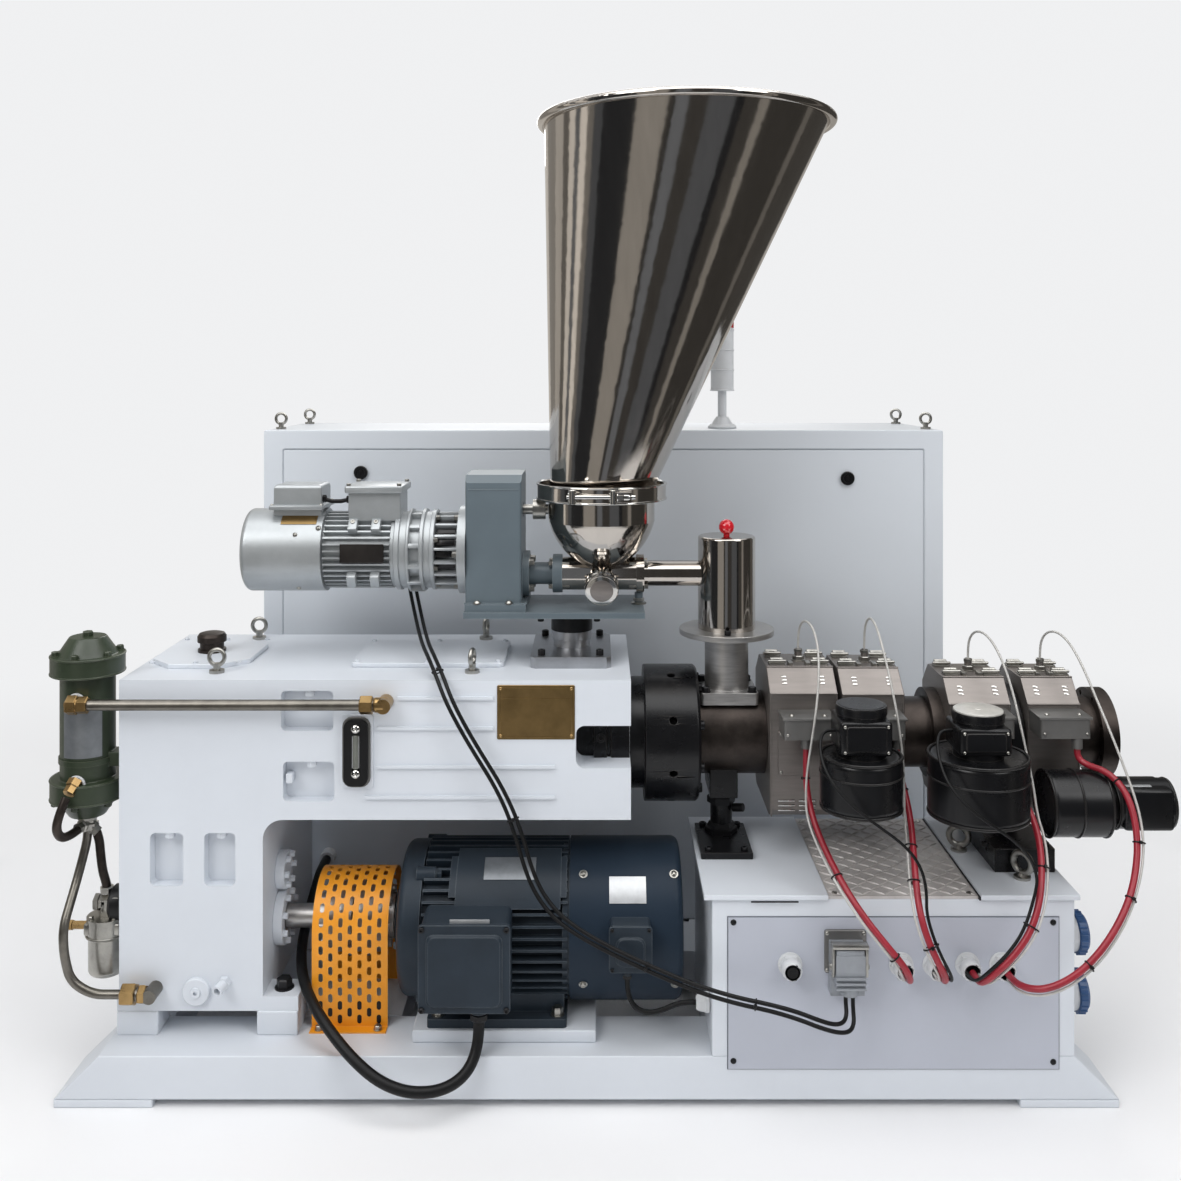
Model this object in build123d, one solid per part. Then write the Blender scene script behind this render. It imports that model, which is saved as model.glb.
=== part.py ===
from build123d import *

import math
import os

os.makedirs("parts", exist_ok=True)

# Millimetres. X runs along the machine, from gearbox to outlet. Y points to the cabinet, Z up.

# Screw line
AXIS_Y = -175.0
AXIS_Z = 655.0
FIT = 0.3

# Base frame
BASE_TOP = 102.0
BASE_X0 = -1012.0
BASE_X1 = 910.0
END_SPLAY = 88.0
PAD_H = 16.0
PAD_L = 195.0
RAIL_W = 150.0
FRONT_OUT = 290.0
CROSS_W = 100.0
CROSS_DEEP = 70.0
REAR_RAIL_W = 100.0
GUARD_TIE_W = 200.0

# Gearbox: an L-shaped casting
BOX_X0 = -1001.0
LEG_X1 = -709.0
ARM_X1 = 39.0
BOX_HALF = 212.0
LEG_Z0 = 150.0
ARM_Z0 = 538.0
BOX_TOP = 822.0
CAST_R = 14.0
KNEE_R = 40.0
LUG_H = 30.0
LUG_W = 84.0
LUG_OUT = 70.0
LUG_IN = 38.0
LUG_BEYOND = 30.0
PACKING_PROUD = 3.0
TOE_L = 26.0
TOE_H = 34.0
POCKET_R = 10.0
POCKET_DEEP = 28.0
# pockets in the front face: from the outer end, wide, below the top, high
POCKETS = [
    (329.0, 106.0, 22.0, 81.0),
    (333.0, 104.0, 166.0, 80.0),
    (63.0, 67.0, 311.0, 107.0),
    (173.0, 63.0, 311.0, 107.0),
]
RIB_T = 6.0
# ribs on the front face: start, back from the outlet end, long, below the top
RIBS = [
    (475.0, 196.0, 36.0),
    (516.0, 237.0, 97.0),
    (516.0, 362.0, 175.0),
    (540.0, 386.0, 237.0),
]
WINDOW_Z0 = 643.0
WINDOW_Z1 = 729.0
WINDOW_L = 112.0
WINDOW_DEEP = 92.0
WINDOW_R = 18.0
COVER_T = 10.0
INSPECTION_IN = 16.0
INSPECTION_L = 210.0
INSPECTION_HALF = 120.0
INSPECTION_CUT = 50.0
TOP_PLATE_BACK = 591.0
TOP_PLATE_L = 324.0
TOP_PLATE_HALF = 108.0
BREATHER_R = 24.0
BREATHER_H = 40.0
EYE_SIZE = 22.0
EYE_IN = 179.0
EYE_BACK = 329.0
EYE_FRONT = 150.0
EYE_REAR = 165.0
GAUGE_BACK = 581.0
GAUGE_W = 49.0
GAUGE_H = 134.0
GAUGE_BELOW = 77.0
GAUGE_T = 16.0
GLASS_W = 15.0
GLASS_H = 72.0

# Drive line, in front of the screw line
DRIVE_Y = AXIS_Y - 85.0
DRIVE_Z = 287.0
SHAFT_R = 24.0
CAP_T = 20.0
CAP_R = 58.0
IDLER_UP = 99.0
IDLER_R = 40.0
GUARD_X0 = -616.0
GUARD_X1 = -460.0
GUARD_R = 100.0
GUARD_T = 2.5
SLOT_W = 9.0
SLOT_H = 18.0
SLOT_PITCH = 28.0
COLUMN_PITCH = 20.0
GUARD_COLUMNS = 7
RUN_CLEAR = 6.0
HUB_R = 70.0
HUB_L = 58.0
HUB_GAP = 8.0
NECK_HUB_R = 45.0
NECK_HUB_L = 18.0
PIN_RING_R = 52.0
PIN_R = 9.0
GUARD_FOOT = 24.0

# Main motor
MOTOR_X0 = -451.0
SHIELD_L = 62.0
FRAME_L = 303.0
COWL_L = 231.0
MOTOR_R = 160.0
FIN_H = 22.0
FIN_T = 5.0
FINS = 44
FOOT_L = 282.0
FOOT_HALF = 150.0
FOOT_T = 18.0
PLATE_T = 25.0
COWL_T = 2.5
FOOT_IN = 16.0
PLATE_IN = 28.0
PLATE_ON = 59.0
MAIN_BOX_IN = 13.0
MAIN_BOX_L = 175.0
MAIN_BOX_DROP = 84.0
MAIN_BOX_H = 167.0
MAIN_BOX_PROUD = 20.0
FAN_BOX_IN = 82.0
FAN_BOX_L = 81.0
FAN_BOX_DROP = 24.0
FAN_BOX_H = 87.0
FAN_BOX_BACK = 15.0
MOTOR_END = MOTOR_X0 + SHIELD_L + FRAME_L + COWL_L

# Barrel, heaters and blowers
NECK_L = 33.0
NECK_R = 118.0
RING_L = 117.0
RING_R = 145.0
THROAT_R = 88.0
THROAT_L = 145.0
BARREL_R = 75.0
FLANGE_X1 = 1085.0
FLANGE_T = 35.0
FLANGE_R = 95.0
BOLT_PCD = 168.0
BOLT_HOLE_R = 5.5
OUTLET_R = 28.0
COLLAR_X0 = 690.0
COLLAR_T = 26.0
HEATERS = [
    # start, length, half depth, rise of the top, rise of the slope's foot
    (335.0, 144.0, 115.0, 157.0, 113.0),
    (488.0, 132.0, 115.0, 155.0, 111.0),
    (716.0, 132.0, 105.0, 135.0, 88.0),
    (883.0, 112.0, 105.0, 135.0, 88.0),
]
HEATER_FLAT = 60.0
HEATER_DROP = 148.0
TERMINAL_H = 42.0
TERMINAL_L = 104.0
TERMINAL_Z = AXIS_Z + 35.0
TERMINAL_OUT = 66.0
LEAD_Y = AXIS_Y - 160.0
LEADS_X = [404.0, 592.0, 812.0, 966.0]
PROBES_X = [414.0, 560.0, 789.0, 948.0]
FITTING_H = 26.0
FITTING_R = 8.0
GLAND_R = 11.0
GLAND_L = 22.0
BLOWER_Y = AXIS_Y - 270.0
BLOWER_MOTOR_R = 49.0
# upright blowers: heater, in from its start, scroll radius, below the axis, above the axis to the top
BLOWERS = [
    (1, 6.0, 81.0, 69.0, 136.0),
    (2, 10.0, 98.0, 83.0, 123.0),
]
DUCT_IN = 10.0
DUCT_W = 58.0
SIDE_BLOWER_Y = AXIS_Y - 180.0
SIDE_BLOWER_Z = AXIS_Z - 94.0
SIDE_SCROLL_R = 66.0
SIDE_SCROLL_L = 120.0
SIDE_NECK_L = 16.0
SIDE_MOTOR_R = 50.0
SIDE_MOTOR_L = 118.0
SADDLE_L = 60.0
SADDLE_HALF = 60.0
POST_BACK = 12.0
PEDESTAL_L = 110.0
PEDESTAL_T = 14.0
SECOND_T = 48.0
STRAP_GAP = 3.0
STRAP_R = BARREL_R + 30.0

# Feed throat and chute
CHUTE_X = 256.0
THROAT_FLANGE = 126.0
THROAT_FLANGE_T = 26.0
THROAT_TUBE_R = 48.0
DISC_R = 104.0
DISC_T = 12.0
DISC_Z = 872.0
CHUTE_R = 63.0
CHUTE_H = 203.0
KNOB_R = 17.0

# Feeder and hopper
BLOCK_X0 = -171.0
BLOCK_X1 = 0.0
BLOCK_HALF = 118.0
BLOCK_T = 24.0
POST_R = 44.0
POST_H = 78.0
DECK_OVER = 2.0
DECK_HALF = 104.0
DECK_T = 13.0
FEED_BOX_X0 = -312.0
FEED_BOX_L = 120.0
FEED_BOX_HALF = 85.0
FEED_BOX_H = 290.0
FEED_FOOT_OUT = 12.0
FEED_FOOT_T = 16.0
SCREW_UP = 67.0
STIR_UP = 208.0
STIR_R = 11.0
STIR_COLLAR_R = 22.0
MOTOR_UP = 120.0
SCREW_TUBE_R = 28.0
BOWL_GAP = 55.0
BOWL_R = 117.0
BOWL_X = FEED_BOX_X0 + FEED_BOX_L + BOWL_GAP + BOWL_R
BOWL_SIDE = 62.0
TROUGH_R = 36.0
TROUGH_X0 = FEED_BOX_X0 + FEED_BOX_L + 86.0
TROUGH_X1 = BOWL_X + 76.0
END_FLANGE_T = 17.0
END_FLANGE_R = 42.0
PORT_R = 27.0
PORT_L = 104.0
PORT_CAP_R = 33.0
SHEET = 2.5
HOPPER_Z0 = 1187.0
HOPPER_H = 808.0
HOPPER_R0 = BOWL_R - 4.0
HOPPER_R1 = 313.0
HOPPER_LEAN = 186.5
RIM_R = 9.0
LIP_R = BOWL_R + 20.0
LIP_T = 4.0
BAND_T = 5.0
BAND_H = 34.0
LATCH_L = 32.0
LATCH_H = 22.0
LATCH_IN = 30.0
FEED_FLANGE_R = 96.0
FEED_FLANGE_T = 18.0
CONE_L = 51.0
REDUCER_L = 84.0
REDUCER_R = 84.0
FEED_MOTOR_L = 157.0
FEED_MOTOR_R = 84.0
FEED_COWL_L = 174.0
FEED_COWL_R = 90.0
FEED_FINS = 36
SMALL_BOX_IN = 64.0
SMALL_BOX_L = 104.0
LARGE_BOX_IN = 53.0
LARGE_BOX_L = 113.0
EXIT_IN = 138.0

# Cable box
CB_GAP = 51.0
CB_X0 = MOTOR_END + CB_GAP
CB_TOP = 412.0
CB_BACK = AXIS_Y + 120.0
LID_T = 10.0
LID_OVER = 8.0
CHECKER_X0 = 424.0
CHECKER_X1 = 723.0
CHECKER_T = 5.0
PANEL_T = 3.0
PANEL_X0 = CB_X0 + 32.0
PANEL_X1 = BASE_X1 - 33.0
PANEL_Z0 = BASE_TOP - 23.0
PANEL_Z1 = CB_TOP - 36.0
ENTRY_Z = 285.0
ENTRIES = [349.0, 567.0, 633.0, 697.0, 764.0]
ENTRY_R = 19.0
ENTRY_L = 35.0
PLUG_X = 457.0
PLUG_W = 66.0
PLUG_Z0 = 236.0
PLUG_H = 100.0
PLUG_T = 26.0
HOOD_W = 56.0
HOOD_T = 31.0
HOOD_Z0 = 264.0
HOOD_H = 64.0
HOOD_GLAND_L = 16.0
SOCKET_UP = [78.0, 198.0]
SOCKET_Y = AXIS_Y - 190.0
SOCKET_R = 44.0
SOCKET_T = 22.0
SOCKET_HEAD_R = 35.0
SOCKET_HEAD_L = 36.0

# Cabinet
CAB_X0 = -849.0
CAB_X1 = 821.0
CAB_FRONT = AXIS_Y + 300.0
CAB_DEEP = 420.0
CAB_TOP = 1305.0
CAB_PANEL_T = 4.0
CAB_MARGIN = 47.0
CAB_SEAM = 2.0
CAB_EYE = 18.0
CAB_EYE_IN = 27.0
CAB_EYE_DEEP = 60.0
LAMP_X = 288.0
LAMP_DEEP = 100.0
LAMP_R = 29.0
LAMP_FOOT_H = 30.0
LAMP_STEM_H = 65.0
LAMP_BODY_H = 160.0
LAMP_LENS_H = 30.0

# Oil unit, on the gearbox's outer end
OIL_X = -1084.0
OIL_Y = AXIS_Y - 165.0
COOLER_R = 54.0
COOLER_FLANGE_R = 73.0
COOLER_Z0 = 570.0
COOLER_Z1 = 866.0
FILTER_X = -1044.0
FILTER_R = 40.0
PIPE_R = 11.0
PIPE_Y = AXIS_Y - BOX_HALF - 28.0
PIPE_Z = 779.0
PIPE_END = -474.0
FITTING_PIPE_R = 15.0
RETURN_X = -926.0
RETURN_Z = 198.0
COOLER_CAP_H = 43.0
COOLER_END_H = 36.0
COOLER_ARM_Z = 638.0
COOLER_ARM_H = 29.0
FILTER_Z0 = 206.0
FILTER_H = 82.0
FILTER_CAP_H = 37.0
VALVE_Z = 362.0

FRONT = AXIS_Y - FRONT_OUT
NODES = {}


def block(x0, x1, y0, y1, z0, z1):
    """A box between two corners."""
    size = Box(x1 - x0, y1 - y0, z1 - z0)
    return Pos((x0 + x1) / 2, (y0 + y1) / 2, (z0 + z1) / 2) * size


def rod_x(x0, x1, y, z, r):
    """A round bar along X."""
    return Pos((x0 + x1) / 2, y, z) * Rot(0, 90, 0) * Cylinder(r, x1 - x0)


def rod_y(y0, y1, x, z, r):
    """A round bar along Y."""
    return Pos(x, (y0 + y1) / 2, z) * Rot(90, 0, 0) * Cylinder(r, y1 - y0)


def rod_z(z0, z1, x, y, r):
    """An upright round bar."""
    return Pos(x, y, (z0 + z1) / 2) * Cylinder(r, z1 - z0)


def side_profile(points, y0, y1):
    """A closed outline of (x, z) points, carried from y0 to y1."""
    face = Plane.XZ.offset(-y0) * make_face(Polyline(*points, close=True))
    return extrude(face, -(y1 - y0))


def end_profile(points, x0, x1):
    """A closed outline of (y, z) points, carried from x0 to x1."""
    face = Plane.YZ.offset(x0) * make_face(Polyline(*points, close=True))
    return extrude(face, x1 - x0)


def eye_bolt(x, y, z, size, turn=0):
    """A lifting eye: collar, shank and ring, standing on z."""
    ring = Pos(0, 0, size * 1.45) * Rot(90, 0, 0) * Torus(size * 0.72, size * 0.2)
    foot = rod_z(0, size * 0.28, 0, 0, size * 0.7)
    neck = rod_z(0, size * 0.9, 0, 0, size * 0.34)
    return Pos(x, y, z) * Rot(0, 0, turn) * (ring + foot + neck)


def tube_along(points, r):
    """A cord or pipe: straight runs joined by arcs as large as the runs allow."""
    corners = [Vector(*p) for p in points]
    runs = [b - a for a, b in zip(corners, corners[1:])]
    radii = []
    for a, b in zip(runs, runs[1:]):
        half_turn = math.radians(a.get_angle(b)) / 2
        radii.append(0.45 * min(a.length, b.length) / math.tan(half_turn))
    path = FilletPolyline(*corners, radius=radii)
    start = Plane(origin=path @ 0, z_dir=path % 0)
    solid = sweep(start * Circle(r), path=path)
    share = solid.volume / (math.pi * r * r * path.length)
    print(f"r {r} length {path.length:.0f} least radius {min(radii):.0f} share {share:.4f}")
    return solid


def base_frame():
    """Three rails with splayed ends on pads, tied by cross members."""
    splay0 = BASE_X0 - END_SPLAY
    splay1 = BASE_X1 + END_SPLAY
    outline = [
        (splay0, PAD_H),
        (splay1, PAD_H),
        (BASE_X1, BASE_TOP),
        (BASE_X0, BASE_TOP),
    ]
    front_back = FRONT + RAIL_W
    middle_front = 2 * AXIS_Y - front_back
    middle_back = middle_front + RAIL_W
    rear_back = CAB_FRONT + CAB_DEEP
    rear_front = rear_back - REAR_RAIL_W
    rails = [(FRONT, front_back), (middle_front, middle_back), (rear_front, rear_back)]
    front, middle, rear = [side_profile(outline, y0, y1) for y0, y1 in rails]
    pads = []
    for y0, y1 in rails:
        pads.append(block(splay0, splay0 + PAD_L, y0, y1, 0, PAD_H))
        pads.append(block(splay1 - PAD_L, splay1, y0, y1, 0, PAD_H))
    # packing blocks under the gearbox's lugs
    for x in lug_centres():
        y0 = AXIS_Y - BOX_HALF - PACKING_PROUD
        packing = block(x - LUG_W / 2, x + LUG_W / 2, y0, y0 + LUG_OUT, BASE_TOP, LEG_Z0)
        pads.append(packing)
        pads.append(mirror(packing, Plane.XZ.offset(-AXIS_Y)))
    NODES["base_front_rail"] = front
    NODES["mounting_pads"] = pads
    low = BASE_TOP - CROSS_DEEP
    ties = [middle, rear]
    guard_mid = (GUARD_X0 + GUARD_X1) / 2
    for x in [BASE_X0 + CROSS_W / 2, guard_mid, CB_X0 + CROSS_W / 2, BASE_X1 - CROSS_W / 2]:
        wide = GUARD_TIE_W if x == guard_mid else CROSS_W
        x0, x1 = x - wide / 2, x + wide / 2
        ties.append(block(x0, x1, front_back, middle_front, low, BASE_TOP))
        ties.append(block(x0, x1, middle_back, rear_front, low, BASE_TOP))
    NODES["base_rear_frame"] = ties


def lug_centres():
    """X of the gearbox's two rows of holding-down lugs."""
    return [BOX_X0 + LUG_IN, LEG_X1 + LUG_BEYOND]


def gearbox():
    """The L-shaped casting with its pockets, ribs, window and lugs."""
    y0, y1 = AXIS_Y - BOX_HALF, AXIS_Y + BOX_HALF
    outline = [
        (BOX_X0 + TOE_L, LEG_Z0),
        (LEG_X1, LEG_Z0),
        (LEG_X1, ARM_Z0),
        (ARM_X1, ARM_Z0),
        (ARM_X1, BOX_TOP),
        (BOX_X0, BOX_TOP),
        (BOX_X0, LEG_Z0 + TOE_H),
    ]
    body = side_profile(outline, y0, y1)
    knee = body.edges().filter_by(Axis.Y).sort_by_distance((LEG_X1, AXIS_Y, ARM_Z0))[0]
    body = fillet(knee, KNEE_R)
    for x in lug_centres():
        lug = block(x - LUG_W / 2, x + LUG_W / 2, y0, y0 + LUG_OUT, LEG_Z0, LEG_Z0 + LUG_H)
        body += lug
        body += mirror(lug, Plane.XZ.offset(-AXIS_Y))
    # the coupling window, cut in from both sides at the outlet end
    end = ARM_X1 + 1
    window = block(ARM_X1 - WINDOW_L, end, y0 - 1, y0 + WINDOW_DEEP, WINDOW_Z0, WINDOW_Z1)
    corners = window.edges().filter_by(Axis.Y).group_by(Axis.X)[0]
    window = fillet(corners, WINDOW_R)
    body -= window
    body -= mirror(window, Plane.XZ.offset(-AXIS_Y))
    # bolt pockets and core holes
    for along, wide, below, high in POCKETS:
        x, z = BOX_X0 + along, BOX_TOP - below
        pocket = block(x, x + wide, y0 - 1, y0 + POCKET_DEEP, z - high, z)
        body -= fillet(pocket.edges().filter_by(Axis.Y), POCKET_R)
    for back, long, below in RIBS:
        x, z = ARM_X1 - back, BOX_TOP - below
        body += block(x, x + long, y0 - RIB_T, y0 + 1, z - RIB_T / 2, z + RIB_T / 2)
    NODES["gearbox_housing"] = body
    # covers on the top face
    top = BOX_TOP + COVER_T
    lid0 = BOX_X0 + INSPECTION_IN
    lid_mid = lid0 + INSPECTION_L / 2
    lid_y0, lid_y1 = AXIS_Y - INSPECTION_HALF, AXIS_Y + INSPECTION_HALF
    inspection = block(lid0, lid0 + INSPECTION_L, lid_y0, lid_y1, BOX_TOP, top)
    inspection = chamfer(inspection.edges().filter_by(Axis.Z), INSPECTION_CUT)
    plate0 = ARM_X1 - TOP_PLATE_BACK
    plate_y0, plate_y1 = AXIS_Y - TOP_PLATE_HALF, AXIS_Y + TOP_PLATE_HALF
    plate = block(plate0, plate0 + TOP_PLATE_L, plate_y0, plate_y1, BOX_TOP, top)
    plate = fillet(plate.edges().filter_by(Axis.Z), POCKET_R)
    stem = BREATHER_H * 0.35
    breather = rod_z(top, top + stem, lid_mid, AXIS_Y, BREATHER_R / 2)
    breather += rod_z(top + stem, top + BREATHER_H, lid_mid, AXIS_Y, BREATHER_R)
    covers = [inspection + breather, plate]
    eyes = []
    for x, turn in [(BOX_X0 + EYE_IN, 0), (ARM_X1 - EYE_BACK, 80)]:
        for y in [AXIS_Y - EYE_FRONT, AXIS_Y + EYE_REAR]:
            eyes.append(eye_bolt(x, y, BOX_TOP, EYE_SIZE, turn))
    for x in [CAB_X0 + CAB_EYE_IN, CAB_X1 - CAB_EYE_IN]:
        for y in [CAB_FRONT + CAB_EYE_DEEP, CAB_FRONT + CAB_DEEP - CAB_EYE_DEEP]:
            eyes.append(eye_bolt(x, y, CAB_TOP, CAB_EYE))
    NODES["lifting_eyes"] = eyes
    # oil level gauge: a framed glass with a bolt at each end
    g0, g1 = ARM_X1 - GAUGE_BACK, ARM_X1 - GAUGE_BACK + GAUGE_W
    gz1 = BOX_TOP - GAUGE_BELOW
    frame = block(g0, g1, y0 - GAUGE_T, y0, gz1 - GAUGE_H, gz1)
    frame = fillet(frame.edges().filter_by(Axis.Y), GAUGE_W / 3)
    glass0 = (g0 + g1 - GLASS_W) / 2
    glass_z = gz1 - (GAUGE_H - GLASS_H) / 2
    slot = block(glass0, glass0 + GLASS_W, y0 - GAUGE_T - 1, y0 - 10, glass_z - GLASS_H, glass_z)
    NODES["oil_level_gauge"] = frame - slot
    lower = rod_x(LEG_X1, LEG_X1 + CAP_T, DRIVE_Y, DRIVE_Z, CAP_R)
    lower -= rod_x(LEG_X1 - 1, LEG_X1 + CAP_T + 1, DRIVE_Y, DRIVE_Z, SHAFT_R + RUN_CLEAR)
    upper = rod_x(LEG_X1, LEG_X1 + CAP_T, DRIVE_Y, DRIVE_Z + IDLER_UP, IDLER_R)
    NODES["gearbox_covers"] = covers + [lower, upper]


def drive():
    """Coupling between gearbox and motor, under its perforated guard."""
    x0 = LEG_X1 + FIT
    x1 = MOTOR_X0 - FIT
    mid = (GUARD_X0 + GUARD_X1) / 2
    line = rod_x(x0, x1, DRIVE_Y, DRIVE_Z, SHAFT_R)
    for side in (-1, 1):
        hub0 = mid + side * HUB_GAP / 2
        hub1 = hub0 + side * HUB_L
        line += rod_x(min(hub0, hub1), max(hub0, hub1), DRIVE_Y, DRIVE_Z, HUB_R)
        neck = hub1 + side * NECK_HUB_L
        line += rod_x(min(hub1, neck), max(hub1, neck), DRIVE_Y, DRIVE_Z, NECK_HUB_R)
    pin_half = HUB_GAP / 2 + HUB_L + 12
    for i in range(6):
        a = math.radians(60 * i)
        y, z = DRIVE_Y + PIN_RING_R * math.cos(a), DRIVE_Z + PIN_RING_R * math.sin(a)
        line += rod_x(mid - pin_half, mid + pin_half, y, z, PIN_R)
    NODES["drive_coupling"] = line
    # the guard: an arch on two straight legs, with feet on the base
    outer = rod_x(GUARD_X0, GUARD_X1, DRIVE_Y, DRIVE_Z, GUARD_R)
    outer += block(GUARD_X0, GUARD_X1, DRIVE_Y - GUARD_R, DRIVE_Y + GUARD_R, BASE_TOP, DRIVE_Z)
    bore = GUARD_R - GUARD_T
    inner = rod_x(GUARD_X0 - 1, GUARD_X1 + 1, DRIVE_Y, DRIVE_Z, bore)
    side0, side1 = DRIVE_Y - bore, DRIVE_Y + bore
    inner += block(GUARD_X0 - 1, GUARD_X1 + 1, side0, side1, BASE_TOP - 1, DRIVE_Z)
    guard = outer - inner
    for side in (-1, 1):
        edge = DRIVE_Y + side * GUARD_R
        tip = edge + side * GUARD_FOOT
        near, far = min(edge, tip), max(edge, tip)
        guard += block(GUARD_X0, GUARD_X1, near, far, BASE_TOP, BASE_TOP + GUARD_T)
    first = mid - COLUMN_PITCH * (GUARD_COLUMNS - 1) / 2
    cuts = []
    leg_rows = int((DRIVE_Z - BASE_TOP - 2 * SLOT_PITCH) / SLOT_PITCH) + 1
    arc_step = math.degrees(SLOT_PITCH / GUARD_R)
    arc_rows = int(180 / arc_step)
    for column in range(GUARD_COLUMNS):
        x = first + column * COLUMN_PITCH
        odd = 0.5 * (column % 2)
        for row in range(leg_rows):
            z = DRIVE_Z - (row + odd) * SLOT_PITCH
            across = Plane((x, DRIVE_Y, z), x_dir=(0, 0, 1), z_dir=(0, 1, 0))
            slot = across * SlotOverall(SLOT_H, SLOT_W)
            cuts.append(extrude(slot, GUARD_R + 5, both=True))
        for row in range(1, arc_rows + 1):
            a = math.radians((row - odd) * arc_step)
            out = (0, -math.cos(a), math.sin(a))
            along = (0, math.sin(a), math.cos(a))
            at = Plane((x, DRIVE_Y, DRIVE_Z), x_dir=along, z_dir=out)
            slot = at.offset(bore - 5) * SlotOverall(SLOT_H, SLOT_W)
            cuts.append(extrude(slot, GUARD_T + 10))
    guard -= cuts
    NODES["coupling_guard"] = guard


def motor():
    """Foot-mounted motor with axial fins, side terminal box and forced-fan cowl."""
    frame0 = MOTOR_X0 + SHIELD_L
    frame1 = frame0 + FRAME_L
    cowl1 = MOTOR_END
    plate_top = BASE_TOP + PLATE_T
    core = MOTOR_R - FIN_H
    body = rod_x(frame0, frame1, DRIVE_Y, DRIVE_Z, core)
    for i in range(FINS):
        fin = block(frame0 + 4, frame1 - 4, -FIN_T / 2, FIN_T / 2, core - 3, MOTOR_R)
        body += Pos(0, DRIVE_Y, DRIVE_Z) * Rot(360 * i / FINS, 0, 0) * fin
    shield = rod_x(MOTOR_X0 + 14, frame0, DRIVE_Y, DRIVE_Z, MOTOR_R - 6)
    shield = fillet(shield.edges().group_by(Axis.X)[0], 18)
    shield += rod_x(MOTOR_X0, MOTOR_X0 + 20, DRIVE_Y, DRIVE_Z, 68)
    shield -= rod_x(MOTOR_X0 - 1, MOTOR_X0 + 9, DRIVE_Y, DRIVE_Z, SHAFT_R + RUN_CLEAR)
    body += shield
    rear = rod_x(frame1 - 14, frame1, DRIVE_Y, DRIVE_Z, MOTOR_R - 6)
    body += rear
    foot0 = frame0 + FOOT_IN
    foot1 = foot0 + FOOT_L
    for side in (-1, 1):
        edge = DRIVE_Y + side * FOOT_HALF
        inner = DRIVE_Y + side * 70
        low = plate_top
        sole = block(foot0, foot1, min(edge, inner), max(edge, inner), low, low + FOOT_T)
        sole = fillet(sole.edges().filter_by(Axis.Z), 8)
        leg0 = DRIVE_Y + side * 118
        near, far = min(leg0, inner), max(leg0, inner)
        body += sole + block(foot0 + 6, foot1 - 6, near, far, low, DRIVE_Z - 100)
    NODES["motor_frame"] = body
    cowl = rod_x(frame1, cowl1, DRIVE_Y, DRIVE_Z, MOTOR_R)
    cowl = fillet(cowl.edges().group_by(Axis.X)[-1], 16)
    hollow = rod_x(frame1 - 1, cowl1 - COWL_T, DRIVE_Y, DRIVE_Z, MOTOR_R - COWL_T)
    hollow = fillet(hollow.edges().group_by(Axis.X)[-1], 13)
    cowl -= hollow
    vents = []
    for ring in range(1, 7):
        r = 20.0 * ring
        count = 6 * ring
        for i in range(count):
            a = 2 * math.pi * i / count
            y, z = DRIVE_Y + r * math.cos(a), DRIVE_Z + r * math.sin(a)
            vents.append(rod_x(cowl1 - 8, cowl1 + 8, y, z, 5))
    cowl -= vents
    NODES["motor_fan_cowl"] = cowl
    half = FOOT_HALF + 8
    plate0, plate1 = foot0 - PLATE_IN, foot1 + PLATE_ON
    mount = block(plate0, plate1, DRIVE_Y - half, DRIVE_Y + half, BASE_TOP, plate_top)
    NODES["mounting_pads"].append(mount)
    clear = rod_x(MOTOR_X0, cowl1, DRIVE_Y, DRIVE_Z, MOTOR_R + FIT)
    main0, main_z = frame0 + MAIN_BOX_IN, DRIVE_Z - MAIN_BOX_DROP
    main_face = FRONT - MAIN_BOX_PROUD
    main_back = DRIVE_Y - MOTOR_R + 35
    main = block(main0, main0 + MAIN_BOX_L, main_face, main_back, main_z, main_z + MAIN_BOX_H)
    main = fillet(main.edges().filter_by(Axis.Y), 12)
    fan0, fan_z = frame1 + FAN_BOX_IN, DRIVE_Z - FAN_BOX_DROP
    fan_face = FRONT + FAN_BOX_BACK
    fan_back = DRIVE_Y - MOTOR_R + 20
    fan = block(fan0, fan0 + FAN_BOX_L, fan_face, fan_back, fan_z, fan_z + FAN_BOX_H)
    fan = fillet(fan.edges().filter_by(Axis.Y), 8)
    lead_in = rod_z(main_z - 13, main_z, main0 + 114, main_face + 23, 19)
    fan_in = rod_z(fan_z - 13, fan_z, fan0 + 34, fan_face + 12, 9)
    NODES["motor_terminal_boxes"] = [main - clear + lead_in, fan - clear + fan_in]


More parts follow.
